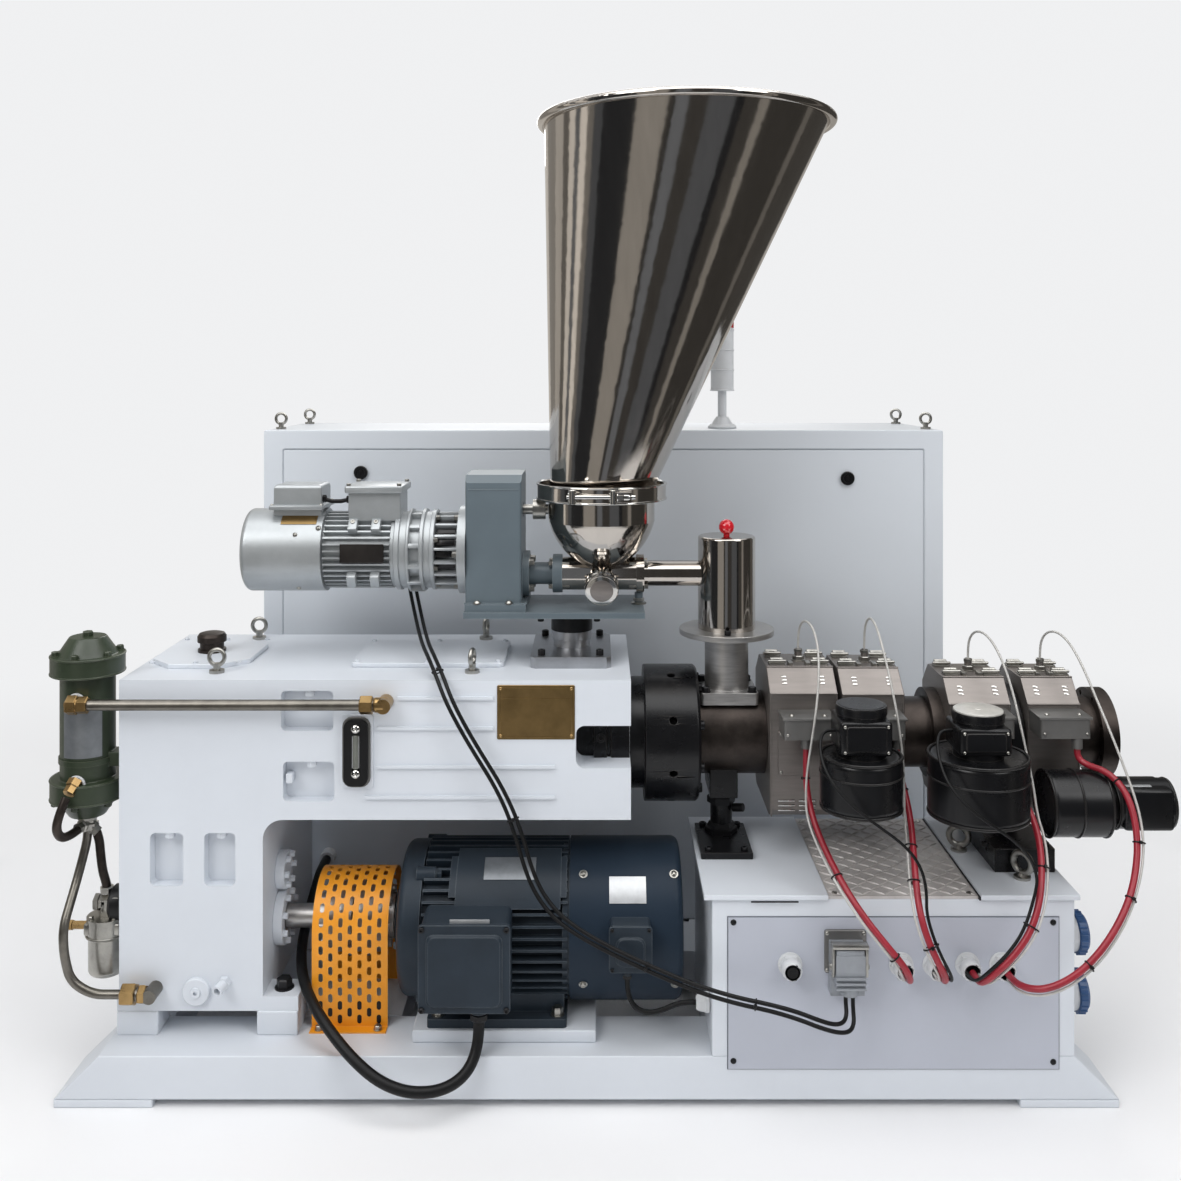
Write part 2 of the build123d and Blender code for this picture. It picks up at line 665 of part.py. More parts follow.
def barrel_line():
    """Drive neck and ring, barrel with its outlet flange, throat and chute."""
    neck1 = ARM_X1 + NECK_L
    ring1 = neck1 + RING_L
    ring = rod_x(ARM_X1, neck1, AXIS_Y, AXIS_Z, NECK_R)
    ring += rod_x(neck1, ring1, AXIS_Y, AXIS_Z, RING_R)
    ring = chamfer(ring.edges().group_by(Axis.X)[-1], 6)
    for i in range(8):
        pin = rod_z(0, 40, (neck1 + ring1) / 2, 0, 8)
        hole = Pos(0, AXIS_Y, AXIS_Z) * Rot(45 * i + 20, 0, 0) * Pos(0, 0, RING_R - 30) * pin
        ring -= hole
    NODES["barrel_flange"] = ring
    throat1 = ring1 + THROAT_L
    plain0 = FLANGE_X1 - FLANGE_T
    barrel = rod_x(ring1, throat1, AXIS_Y, AXIS_Z, THROAT_R)
    barrel += rod_x(throat1, plain0, AXIS_Y, AXIS_Z, BARREL_R)
    barrel += rod_x(COLLAR_X0, COLLAR_X0 + COLLAR_T - FIT, AXIS_Y, AXIS_Z, FLANGE_R)
    barrel += rod_x(plain0, FLANGE_X1, AXIS_Y, AXIS_Z, FLANGE_R)
    barrel -= rod_x(plain0, FLANGE_X1 + 1, AXIS_Y, AXIS_Z, OUTLET_R)
    for i in range(8):
        a = math.radians(22.5 + 45 * i)
        y = AXIS_Y + BOLT_PCD / 2 * math.cos(a)
        z = AXIS_Z + BOLT_PCD / 2 * math.sin(a)
        barrel -= rod_x(plain0 - 1, FLANGE_X1 + 1, y, z, BOLT_HOLE_R)
    seat = AXIS_Z + THROAT_R - 14
    half = THROAT_FLANGE / 2
    x0, x1 = CHUTE_X - half, CHUTE_X + half
    y0, y1 = AXIS_Y - half, AXIS_Y + half
    barrel -= block(x0, x1, y0, y1, seat, seat + 40)
    NODES["barrel"] = barrel
    plate = block(x0, x1, y0, y1, seat, seat + THROAT_FLANGE_T)
    plate = fillet(plate.edges().filter_by(Axis.Z), 8)
    throat = plate + rod_z(seat, DISC_Z, CHUTE_X, AXIS_Y, THROAT_TUBE_R)
    throat += rod_z(DISC_Z, DISC_Z + DISC_T, CHUTE_X, AXIS_Y, DISC_R)
    NODES["feed_throat"] = throat
    chute0 = DISC_Z + DISC_T
    chute1 = chute0 + CHUTE_H
    chute = rod_z(chute0, chute1, CHUTE_X, AXIS_Y, CHUTE_R)
    chute = fillet(chute.edges().group_by(Axis.Z)[-1], 5)
    NODES["feed_cylinder"] = chute
    ball = Pos(CHUTE_X, AXIS_Y, chute1 + KNOB_R + 2) * Sphere(KNOB_R)
    ball += rod_z(chute1, chute1 + KNOB_R, CHUTE_X, AXIS_Y, 7)
    NODES["ball_knob"] = ball


def heaters():
    """Sloped heater jackets round the barrel, with terminal boxes and blowers."""
    jackets = []
    boxes = []
    for (x0, length, half, rise, foot), lead, probe in zip(HEATERS, LEADS_X, PROBES_X):
        x1 = x0 + length
        low = AXIS_Z - HEATER_DROP
        right = [
            (half, low + 16),
            (half, AXIS_Z + foot),
            (HEATER_FLAT, AXIS_Z + rise),
        ]
        outline = [(AXIS_Y + y, z) for y, z in right]
        outline += [(AXIS_Y - y, z) for y, z in reversed(right)]
        outline += [(AXIS_Y - half + 16, low), (AXIS_Y + half - 16, low)]
        jacket = end_profile(outline, x0, x1)
        jacket -= rod_x(x0 - 1, x1 + 1, AXIS_Y, AXIS_Z, BARREL_R + FIT)
        crown = AXIS_Z + rise
        jacket += rod_z(crown, crown + FITTING_H, probe, AXIS_Y, FITTING_R)
        jackets.append(jacket)
        face = AXIS_Y - half
        t0 = (x0 + x1 - TERMINAL_L) / 2
        t1 = t0 + TERMINAL_L
        cover = block(t0, t1, face - TERMINAL_OUT, face, TERMINAL_Z, TERMINAL_Z + TERMINAL_H)
        cover = fillet(cover.edges().filter_by(Axis.Z).group_by(Axis.Y)[0], 6)
        cover += rod_z(TERMINAL_Z - GLAND_L, TERMINAL_Z, lead, LEAD_Y, GLAND_R)
        boxes.append(cover)
    NODES["heater_housings"] = jackets
    NODES["heater_terminal_boxes"] = boxes
    fans = []
    for heater, along, scroll_r, below, above in BLOWERS:
        x = HEATERS[heater][0] + along
        wall = AXIS_Y - HEATERS[heater][2]
        z0 = AXIS_Z - below
        scroll = rod_z(z0, TERMINAL_Z, x, BLOWER_Y, scroll_r)
        scroll = fillet(scroll.edges().group_by(Axis.Z)[-1], 12)
        scroll = fillet(scroll.edges().group_by(Axis.Z)[0], 12)
        duct0 = x + DUCT_IN
        duct = block(duct0, duct0 + DUCT_W, BLOWER_Y, wall, z0 + 16, TERMINAL_Z - 12)
        head = rod_z(TERMINAL_Z, AXIS_Z + above, x, BLOWER_Y, BLOWER_MOTOR_R)
        head = fillet(head.edges().group_by(Axis.Z)[-1], 6)
        intake = rod_z(z0 - 8, z0, x, BLOWER_Y, scroll_r * 0.55)
        fans.append(scroll + duct + head + intake)
    y, z = SIDE_BLOWER_Y, SIDE_BLOWER_Z
    x0 = HEATERS[3][0] + 7
    x1 = x0 + SIDE_SCROLL_L
    x2 = x1 + SIDE_NECK_L
    side = rod_x(x0, x1, y, z, SIDE_SCROLL_R)
    side = fillet(side.edges().group_by(Axis.X)[0], 10)
    side += rod_x(x1, x2, y, z, SIDE_MOTOR_R - 10)
    side += rod_x(x2, x2 + SIDE_MOTOR_L, y, z, SIDE_MOTOR_R)
    side += block(x0 + 15, x1 - 25, y, AXIS_Y - HEATERS[3][2], z - 20, z + 40)
    fans.append(side)
    NODES["blowers"] = fans
    supports = []
    lid = CB_TOP + LID_T
    post_x = CHUTE_X - POST_BACK
    foot0 = post_x - PEDESTAL_L / 2
    foot_top = lid + PEDESTAL_T
    first = block(foot0, foot0 + PEDESTAL_L, AXIS_Y - 125, AXIS_Y + 45, lid, foot_top)
    first += rod_z(foot_top, AXIS_Z - THROAT_R - 20, post_x, AXIS_Y, 24)
    saddle0, saddle1 = post_x - SADDLE_L / 2, post_x + SADDLE_L / 2
    back, front = AXIS_Y - SADDLE_HALF, AXIS_Y + SADDLE_HALF
    saddle = block(saddle0, saddle1, back, front, AXIS_Z - THROAT_R - 40, AXIS_Z - 40)
    saddle -= rod_x(saddle0 - 1, saddle1 + 1, AXIS_Y, AXIS_Z, THROAT_R + FIT)
    supports.append(first + saddle)
    gap0 = HEATERS[2][0] + HEATERS[2][1]
    gap1 = HEATERS[3][0]
    mid = (gap0 + gap1) / 2
    strap0, strap1 = gap0 + STRAP_GAP, gap1 - STRAP_GAP
    second_top = lid + SECOND_T
    second = block(mid - 80, mid + 44, AXIS_Y - 190, AXIS_Y + 60, lid, second_top)
    second += rod_z(second_top, AXIS_Z - HEATER_DROP - 6, mid, AXIS_Y, 26)
    second += block(strap0, strap1, back, front, AXIS_Z - HEATER_DROP - 12, AXIS_Z)
    second += rod_x(strap0, strap1, AXIS_Y, AXIS_Z, STRAP_R)
    second -= rod_x(gap0, gap1, AXIS_Y, AXIS_Z, BARREL_R + FIT)
    supports.append(second)
    NODES["barrel_supports"] = supports


def feeder():
    """Screw feeder on its pedestal: gearmotor, gearbox, trough, bowl and hopper."""
    block_top = BOX_TOP + BLOCK_T
    deck_z = block_top + POST_H
    deck_top = deck_z + DECK_T
    screw_z = deck_top + SCREW_UP
    stir_z = deck_top + STIR_UP
    motor_z = deck_top + MOTOR_UP
    post_x = (BLOCK_X0 + BLOCK_X1) / 2
    y0, y1 = AXIS_Y - BLOCK_HALF, AXIS_Y + BLOCK_HALF
    base = block(BLOCK_X0, BLOCK_X1, y0, y1, BOX_TOP, block_top)
    base = chamfer(base.edges().filter_by(Axis.Z), 10)
    base += rod_z(block_top, block_top + 16, post_x, AXIS_Y, POST_R - 4)
    post = rod_z(block_top + 16, deck_z, post_x, AXIS_Y, POST_R)
    NODES["feeder_pedestal"] = [base, post]
    deck0, deck1 = FEED_BOX_X0 - DECK_OVER, TROUGH_X1 + END_FLANGE_T - 1
    deck = block(deck0, deck1, AXIS_Y - DECK_HALF, AXIS_Y + DECK_HALF, deck_z, deck_top)
    deck += rod_z(deck_top, screw_z - END_FLANGE_R, TROUGH_X1 + 6, AXIS_Y, 9)
    NODES["feeder_plate"] = deck
    box1 = FEED_BOX_X0 + FEED_BOX_L
    case_y0, case_y1 = AXIS_Y - FEED_BOX_HALF, AXIS_Y + FEED_BOX_HALF
    case = block(FEED_BOX_X0, box1, case_y0, case_y1, deck_top, deck_top + FEED_BOX_H)
    case = chamfer(case.edges().group_by(Axis.Z)[-1].filter_by(Axis.X), 16)
    case = fillet(case.edges().filter_by(Axis.Z), 6)
    out = FEED_FOOT_OUT
    foot_top = deck_top + FEED_FOOT_T
    case += block(FEED_BOX_X0, box1 + 10, case_y0 - out, case_y1 + out, deck_top, foot_top)
    case += rod_x(box1, box1 + 14, AXIS_Y, screw_z, 50)
    case += rod_x(box1, TROUGH_X0 - 21, AXIS_Y, screw_z, 24)
    case += rod_x(TROUGH_X0 - 21, TROUGH_X0, AXIS_Y, screw_z, END_FLANGE_R)
    case -= rod_x(box1 - 20, box1 + 1, AXIS_Y, stir_z, STIR_R + RUN_CLEAR)
    NODES["feeder_gearbox"] = case
    bowl_wall = BOWL_X - BOWL_R
    shaft = rod_x(box1 - 20 + FIT, bowl_wall - 0.5, AXIS_Y, stir_z, STIR_R)
    shaft += rod_x(box1 + 21, bowl_wall - 6, AXIS_Y, stir_z, STIR_COLLAR_R)
    NODES["stirrer_shaft"] = shaft
    # bowl over trough, open at the top
    lip0 = HOPPER_Z0 - LIP_T
    turn = lip0 - BOWL_SIDE
    foot_r = TROUGH_R - 4
    with_arc = ThreePointArc((BOWL_R, turn), (BOWL_R * 0.72, turn - 64), (foot_r, screw_z + 14))
    outside = make_face(
        [
            Line((0, lip0), (BOWL_R, lip0)),
            Line((BOWL_R, lip0), (BOWL_R, turn)),
            with_arc,
            Line((foot_r, screw_z + 14), (0, screw_z + 14)),
            Line((0, screw_z + 14), (0, lip0)),
        ]
    )
    inner_r = BOWL_R - SHEET
    inner_foot = foot_r - SHEET
    in_mid = (BOWL_R * 0.72 - SHEET, turn - 62)
    in_arc = ThreePointArc((inner_r, turn), in_mid, (inner_foot, screw_z + 16))
    inside = make_face(
        [
            Line((0, HOPPER_Z0 + 1), (inner_r, HOPPER_Z0 + 1)),
            Line((inner_r, HOPPER_Z0 + 1), (inner_r, turn)),
            in_arc,
            Line((inner_foot, screw_z + 16), (0, screw_z + 16)),
            Line((0, screw_z + 16), (0, HOPPER_Z0 + 1)),
        ]
    )
    centre = Pos(BOWL_X, AXIS_Y, 0)
    bowl = centre * revolve(Plane.XZ * outside, Axis.Z)
    bowl += rod_x(TROUGH_X0, TROUGH_X1, AXIS_Y, screw_z, TROUGH_R)
    bowl += rod_z(lip0, HOPPER_Z0, BOWL_X, AXIS_Y, LIP_R)
    port = rod_z(0, PORT_L, 0, 0, PORT_R) + rod_z(PORT_L - 13, PORT_L + 1, 0, 0, PORT_CAP_R)
    bowl += Pos(BOWL_X, AXIS_Y, screw_z + 6) * Rot(105, 0, 0) * port
    bowl -= centre * revolve(Plane.XZ * inside, Axis.Z)
    bowl -= rod_x(TROUGH_X0 - 1, TROUGH_X1 + 1, AXIS_Y, screw_z, TROUGH_R - SHEET)
    NODES["hopper_bowl"] = bowl
    # oblique hopper: the side over the gearbox is nearly upright
    top_z = HOPPER_Z0 + HOPPER_H
    low_ring = Plane((BOWL_X, AXIS_Y, HOPPER_Z0)) * Circle(HOPPER_R0)
    high_ring = Plane((BOWL_X + HOPPER_LEAN, AXIS_Y, top_z)) * Circle(HOPPER_R1)
    wall = loft([low_ring, high_ring], ruled=True)
    low_in = Plane((BOWL_X, AXIS_Y, HOPPER_Z0)) * Circle(HOPPER_R0 - SHEET)
    high_in = Plane((BOWL_X + HOPPER_LEAN, AXIS_Y, top_z)) * Circle(HOPPER_R1 - SHEET)
    wall -= loft([low_in, high_in], ruled=True)
    lip = rod_z(HOPPER_Z0, HOPPER_Z0 + LIP_T, BOWL_X, AXIS_Y, LIP_R)
    lip -= rod_z(HOPPER_Z0 - 1, HOPPER_Z0 + LIP_T + 1, BOWL_X, AXIS_Y, HOPPER_R0 - SHEET / 2)
    rim = Pos(BOWL_X + HOPPER_LEAN, AXIS_Y, top_z) * Torus(HOPPER_R1 + RIM_R - SHEET, RIM_R)
    NODES["hopper_cone"] = wall + lip + rim
    band_r = LIP_R + BAND_T
    inside = rod_z(HOPPER_Z0 - BAND_H, HOPPER_Z0 + BAND_H, BOWL_X, AXIS_Y, LIP_R + FIT)
    band = rod_z(HOPPER_Z0 - BAND_H / 2, HOPPER_Z0 + BAND_H / 2, BOWL_X, AXIS_Y, band_r)
    latch0, latch_z = BOWL_X + LATCH_IN, HOPPER_Z0 - LATCH_H / 2
    latch_y = AXIS_Y - band_r
    latch = block(latch0, latch0 + LATCH_L, latch_y - 16, latch_y + 14, latch_z, latch_z + LATCH_H)
    NODES["hopper_clamp_ring"] = band + latch - inside
    tube = rod_x(TROUGH_X1, TROUGH_X1 + END_FLANGE_T, AXIS_Y, screw_z, END_FLANGE_R)
    tube += rod_x(TROUGH_X1, CHUTE_X, AXIS_Y, screw_z, SCREW_TUBE_R)
    tube -= rod_z(DISC_Z, screw_z + 200, CHUTE_X, AXIS_Y, CHUTE_R + FIT)
    NODES["feed_screw_tube"] = tube
    # gearmotor, on the gearbox's outer face
    flange = rod_x(FEED_BOX_X0 - FEED_FLANGE_T, FEED_BOX_X0, AXIS_Y, motor_z, FEED_FLANGE_R)
    cone0 = FEED_BOX_X0 - FEED_FLANGE_T - CONE_L
    cone = Pos(cone0 + CONE_L / 2, AXIS_Y, motor_z) * Rot(0, 90, 0) * Cone(52, 70, CONE_L)
    frame1 = cone0 - REDUCER_L
    groove0, groove1 = frame1 + 26, cone0 - 26
    reducer = rod_x(frame1, groove0, AXIS_Y, motor_z, REDUCER_R)
    reducer += rod_x(groove0, groove1, AXIS_Y, motor_z, REDUCER_R - 10)
    reducer += rod_x(groove1, cone0, AXIS_Y, motor_z, REDUCER_R)
    NODES["feeder_reducer"] = flange + cone + reducer
    frame0 = frame1 - FEED_MOTOR_L
    cowl0 = frame0 - FEED_COWL_L
    core = FEED_MOTOR_R - 14
    frame = rod_x(frame0, frame1, AXIS_Y, motor_z, core)
    for i in range(FEED_FINS):
        fin = block(frame0 + 3, frame1 - 10, -1.75, 1.75, core - 4, FEED_MOTOR_R)
        frame += Pos(0, AXIS_Y, motor_z) * Rot(360 * (i + 0.5) / FEED_FINS, 0, 0) * fin
    frame += rod_x(frame1 - 10, frame1, AXIS_Y, motor_z, FEED_MOTOR_R - 4)
    cowl = rod_x(cowl0, frame0, AXIS_Y, motor_z, FEED_COWL_R)
    cowl = fillet(cowl.edges().group_by(Axis.X)[0], 12)
    NODES["feeder_motor"] = frame + cowl
    clear = rod_x(cowl0, frame1, AXIS_Y, motor_z, FEED_COWL_R + FIT)
    seat = rod_x(frame0 + FIT, frame1 + 20, AXIS_Y, motor_z, FEED_MOTOR_R + FIT)
    small0, small_z = cowl0 + SMALL_BOX_IN, motor_z + FEED_COWL_R
    small = block(small0, small0 + SMALL_BOX_L, AXIS_Y - 45, AXIS_Y + 45, small_z - 20, small_z + 56)
    small = fillet(small.edges().group_by(Axis.Z)[-1], 9)
    large0, large_z = frame0 + LARGE_BOX_IN, motor_z + FEED_MOTOR_R
    large = block(large0, large0 + LARGE_BOX_L, AXIS_Y - 50, AXIS_Y + 50, large_z - 24, large_z + 58)
    large = fillet(large.edges().group_by(Axis.Z)[-1], 9)
    exits = rod_y(AXIS_Y + 50, AXIS_Y + 66, frame0 + EXIT_IN, large_z + 26, 16)
    NODES["feeder_terminal_boxes"] = [small - clear, large - seat + exits]


def cable_box():
    """Cable box on the base, with its lids, front panel, entries and sockets."""
    x1 = BASE_X1
    NODES["cable_box"] = block(CB_X0, x1, FRONT, CB_BACK, BASE_TOP, CB_TOP)
    lid0, lid1 = CB_X0 - 16, x1 + LID_OVER
    front = FRONT - LID_OVER
    left = block(lid0, CHECKER_X0, front, CB_BACK, CB_TOP, CB_TOP + LID_T)
    right = block(CHECKER_X1, lid1, front, CB_BACK, CB_TOP, CB_TOP + LID_T)
    NODES["box_top_plates"] = [left, right]
    tread0, tread1 = CHECKER_X0 + 1, CHECKER_X1 - 1
    NODES["checker_plate"] = block(tread0, tread1, FRONT, CB_BACK, CB_TOP, CB_TOP + CHECKER_T)
    panel = block(PANEL_X0, PANEL_X1, FRONT - PANEL_T, FRONT, PANEL_Z0, PANEL_Z1)
    NODES["box_front_panel"] = panel
    face = FRONT - PANEL_T
    glands = []
    for x in ENTRIES:
        gland = rod_y(face - ENTRY_L, face, x, ENTRY_Z, ENTRY_R - 2)
        flat = Plane((x, face, ENTRY_Z), x_dir=(1, 0, 0), z_dir=(0, -1, 0))
        gland += extrude(flat * RegularPolygon(ENTRY_R + 2, 6), 12)
        glands.append(gland)
    side = rod_x(CB_X0 - 28, CB_X0, FRONT + 45, 185, 12)
    glands.append(side)
    glands.append(rod_y(CAB_FRONT - 30, CAB_FRONT, -688, 262, 18))
    NODES["cable_glands"] = glands
    hood_face = face - PLUG_T
    plug0, hood0 = PLUG_X - PLUG_W / 2, PLUG_X - HOOD_W / 2
    plug = block(plug0, plug0 + PLUG_W, hood_face, face, PLUG_Z0, PLUG_Z0 + PLUG_H)
    plug += block(hood0, hood0 + HOOD_W, hood_face - HOOD_T, hood_face, HOOD_Z0, HOOD_Z0 + HOOD_H)
    plug += rod_z(HOOD_Z0 - HOOD_GLAND_L, HOOD_Z0, PLUG_X, hood_face - 14, 17)
    NODES["cable_connector"] = plug
    sockets = []
    for up in SOCKET_UP:
        z = BASE_TOP + up
        neck = x1 + SOCKET_T
        socket = rod_x(x1, neck, SOCKET_Y, z, SOCKET_R)
        socket += rod_x(neck, neck + SOCKET_HEAD_L, SOCKET_Y, z, SOCKET_HEAD_R)
        sockets.append(socket)
    NODES["side_sockets"] = sockets


def cabinet():
    """Electrical cabinet behind the machine, with a lift-off front and a lamp."""
    back = CAB_FRONT + CAB_DEEP
    skin = CAB_FRONT + CAB_PANEL_T
    left, right = CAB_X0 + CAB_MARGIN, CAB_X1 - CAB_MARGIN
    body = block(CAB_X0, CAB_X1, skin, back, BASE_TOP, CAB_TOP)
    body += block(CAB_X0, CAB_X1, CAB_FRONT, skin, CAB_TOP - CAB_MARGIN, CAB_TOP)
    body += block(CAB_X0, left, CAB_FRONT, skin, BASE_TOP, CAB_TOP)
    body += block(right, CAB_X1, CAB_FRONT, skin, BASE_TOP, CAB_TOP)
    NODES["cabinet_body"] = body
    x0, x1 = left + CAB_SEAM, right - CAB_SEAM
    z0, z1 = BASE_TOP + CAB_SEAM, CAB_TOP - CAB_MARGIN - CAB_SEAM
    NODES["cabinet_front_panel"] = block(x0, x1, CAB_FRONT, skin, z0, z1)
    y = CAB_FRONT + LAMP_DEEP
    stem = CAB_TOP + LAMP_FOOT_H
    body = stem + LAMP_STEM_H
    dome = body + LAMP_BODY_H
    lamp = Pos(LAMP_X, y, CAB_TOP + LAMP_FOOT_H / 2) * Cone(34, 15, LAMP_FOOT_H)
    lamp += rod_z(stem, body, LAMP_X, y, 11)
    lamp += rod_z(body, dome, LAMP_X, y, LAMP_R)
    lens = rod_z(dome, dome + LAMP_LENS_H, LAMP_X, y, LAMP_R - 1)
    lens = fillet(lens.edges().group_by(Axis.Z)[-1], 10)
    NODES["signal_lamp"] = lamp + lens


def oil_unit():
    """Oil cooler, filter and pipework on the gearbox's outer end."""
    x, y = OIL_X, OIL_Y
    body = rod_z(COOLER_Z0, COOLER_Z1, x, y, COOLER_R)
    body += rod_z(COOLER_Z0, COOLER_Z0 + COOLER_CAP_H, x, y, COOLER_FLANGE_R)
    body += rod_z(COOLER_Z1 - COOLER_CAP_H + 4, COOLER_Z1, x, y, COOLER_FLANGE_R)
    body += Pos(x, y, COOLER_Z1 + COOLER_END_H / 2) * Cone(60, 36, COOLER_END_H)
    body += Pos(x, y, COOLER_Z0 - COOLER_END_H / 2) * Cone(36, 60, COOLER_END_H)
    arm_top = COOLER_ARM_Z + COOLER_ARM_H
    NODES["oil_cooler"] = body + block(x, BOX_X0, y - 20, y + 20, COOLER_ARM_Z, arm_top)
    cap_z = FILTER_Z0 + FILTER_H
    cap_top = cap_z + FILTER_CAP_H
    can = rod_z(FILTER_Z0, cap_z, FILTER_X, y, FILTER_R - 3)
    can += rod_z(cap_z, cap_top, FILTER_X, y, FILTER_R)
    can = fillet(can.edges().group_by(Axis.Z)[0], 12)
    can += rod_z(cap_top, cap_top + 25, FILTER_X, y, 14)
    can += block(FILTER_X, BOX_X0, y - 12, y + 12, cap_z + 8, cap_top - 9)
    valve = rod_y(y - 30, y + 20, BOX_X0 - 15, VALVE_Z, 11)
    valve += rod_x(BOX_X0 - 39, BOX_X0, y, VALVE_Z, 8)
    NODES["oil_filter"] = [can, valve]
    wall = AXIS_Y - BOX_HALF
    feed = rod_x(x + 18, PIPE_END, PIPE_Y, PIPE_Z, PIPE_R)
    elbow_x = PIPE_END + 16
    elbow = rod_y(PIPE_Y - 14, wall, elbow_x, PIPE_Z, FITTING_PIPE_R)
    elbow += rod_x(PIPE_END, elbow_x, PIPE_Y, PIPE_Z, FITTING_PIPE_R)
    inlet = rod_x(x - 6, x + 18, PIPE_Y, PIPE_Z, FITTING_PIPE_R)
    inlet += rod_y(PIPE_Y, y - COOLER_R - FIT, x - 6, PIPE_Z, FITTING_PIPE_R - 3)
    bottom = COOLER_Z0 - COOLER_END_H
    last_x = RETURN_X - 54
    drop = [
        (x, y, bottom),
        (x, y, bottom - 50),
        (x - 12, y - 18, bottom - 120),
        (x - 16, PIPE_Y - 6, bottom - 200),
        (x - 14, PIPE_Y - 6, RETURN_Z + 82),
        (x - 2, PIPE_Y - 3, RETURN_Z + 28),
        (x + 40, PIPE_Y, RETURN_Z),
        (last_x, PIPE_Y, RETURN_Z),
    ]
    bend = rod_x(last_x, RETURN_X, PIPE_Y, RETURN_Z, 13)
    bend += rod_y(PIPE_Y - 14, wall, RETURN_X, RETURN_Z, 14)
    NODES["oil_pipes"] = [feed, tube_along(drop, PIPE_R - 2)]
    NODES["pipe_fittings"] = [elbow, inlet, bend]


ENTRY_FACE = FRONT - PANEL_T - ENTRY_L

# Free cables: hand-chosen points, each from its terminal to its entry.
HEATER_ROUTES = [
    [
        (404, LEAD_Y, 668), (404, LEAD_Y, 634), (402, -348, 590), (408, -390, 540), (424, -448, 496),
        (446, -508, 456), (476, -548, 414), (512, -566, 372), (543, -569, 336), (556, -565, 314),
        (562.5, -555, 298.5), (566, -540, 288.5), (567, -523, ENTRY_Z), (567, ENTRY_FACE, ENTRY_Z),
    ],
    [
        (592, LEAD_Y, 668), (592, LEAD_Y, 634), (601, -358, 594), (603, -402, 548), (594, -458, 508),
        (584, -512, 468), (582, -552, 420), (594, -570, 374), (612, -572, 336), (624, -566, 314),
        (630, -555, 298.5), (632.5, -540, 288.5), (633, -523, ENTRY_Z), (633, ENTRY_FACE, ENTRY_Z),
    ],
    [
        (812, LEAD_Y, 668), (812, LEAD_Y, 644), (815, -341, 622), (823, -358, 602), (833, -384, 584),
        (841, -418, 562), (842, -458, 530), (832, -502, 488), (813, -542, 442), (787, -566, 394),
        (752, -576, 354), (722, -574, 324), (707, -566, 305), (700, -554, 293), (697.5, -539, 287),
        (697, -522, ENTRY_Z), (697, ENTRY_FACE, ENTRY_Z),
    ],
    [
        (966, LEAD_Y, 668), (966, LEAD_Y, 657), (969, -338, 647), (976, -345, 640), (986, -357, 637),
        (1000, -374, 636), (1016, -397, 628), (1029, -424, 606), (1035, -447, 568), (1032, -468, 522),
        (1018, -492, 480), (994, -521, 440), (960, -549, 402), (920, -571, 364), (878, -585, 332),
        (838, -588, 308), (806, -582, 294), (784, -568, 288), (770.5, -549, 285.8), (765, -527, ENTRY_Z),
        (764, ENTRY_FACE, ENTRY_Z),
    ],
]

# Thermocouple leads: up out of the jacket, over its slope and down beside the heater's cable.
THERMOCOUPLE_ROUTES = [
    [
        (414, AXIS_Y, 838), (414, AXIS_Y, 866), (416, -186, 890), (420, -208, 906), (427, -238, 908),
        (433, -268, 896), (435, -296, 872), (433, -322, 840), (428, -344, 802), (421, -360, 760),
        (413, -370, 716), (405, -374, 672), (399, -375, 630), (395, -379, 588),
    ],
    [
        (560, AXIS_Y, 836), (560, AXIS_Y, 864), (560, -186, 892), (561, -208, 911), (563, -238, 916),
        (566, -269, 904), (569, -298, 878), (573, -324, 842), (578, -346, 800), (584, -363, 756),
        (589, -373, 710), (593, -379, 664), (594, -386, 622), (592, -396, 584),
    ],
    [
        (789, AXIS_Y, 816), (789, AXIS_Y, 842), (791, -184, 866), (796, -204, 882), (804, -232, 886),
        (813, -262, 874), (821, -290, 850), (828, -316, 816), (834, -338, 776), (839, -356, 732),
        (844, -372, 688), (849, -386, 644), (853, -400, 604),
    ],
    [
        (948, AXIS_Y, 816), (948, AXIS_Y, 842), (951, -184, 866), (957, -204, 882), (966, -232, 886),
        (976, -260, 874), (985, -286, 850), (994, -312, 816), (1002, -338, 778), (1011, -365, 738),
        (1020, -391, 696), (1030, -414, 652), (1040, -432, 608),
    ],
]

# From here down a lead keeps to its heater cable's side, this far away.
SIDE_BY_SIDE = 12.0
# the third cable slants here, so its neighbours also keep this much below and above it
LEAD_STEP = 3.0


def beside(route, first, dx=0.0, dz=0.0):
    """The rest of a cable's route from one of its points on, moved aside."""
    return [(x + dx, y, z + dz) for x, y, z in route[first:]]


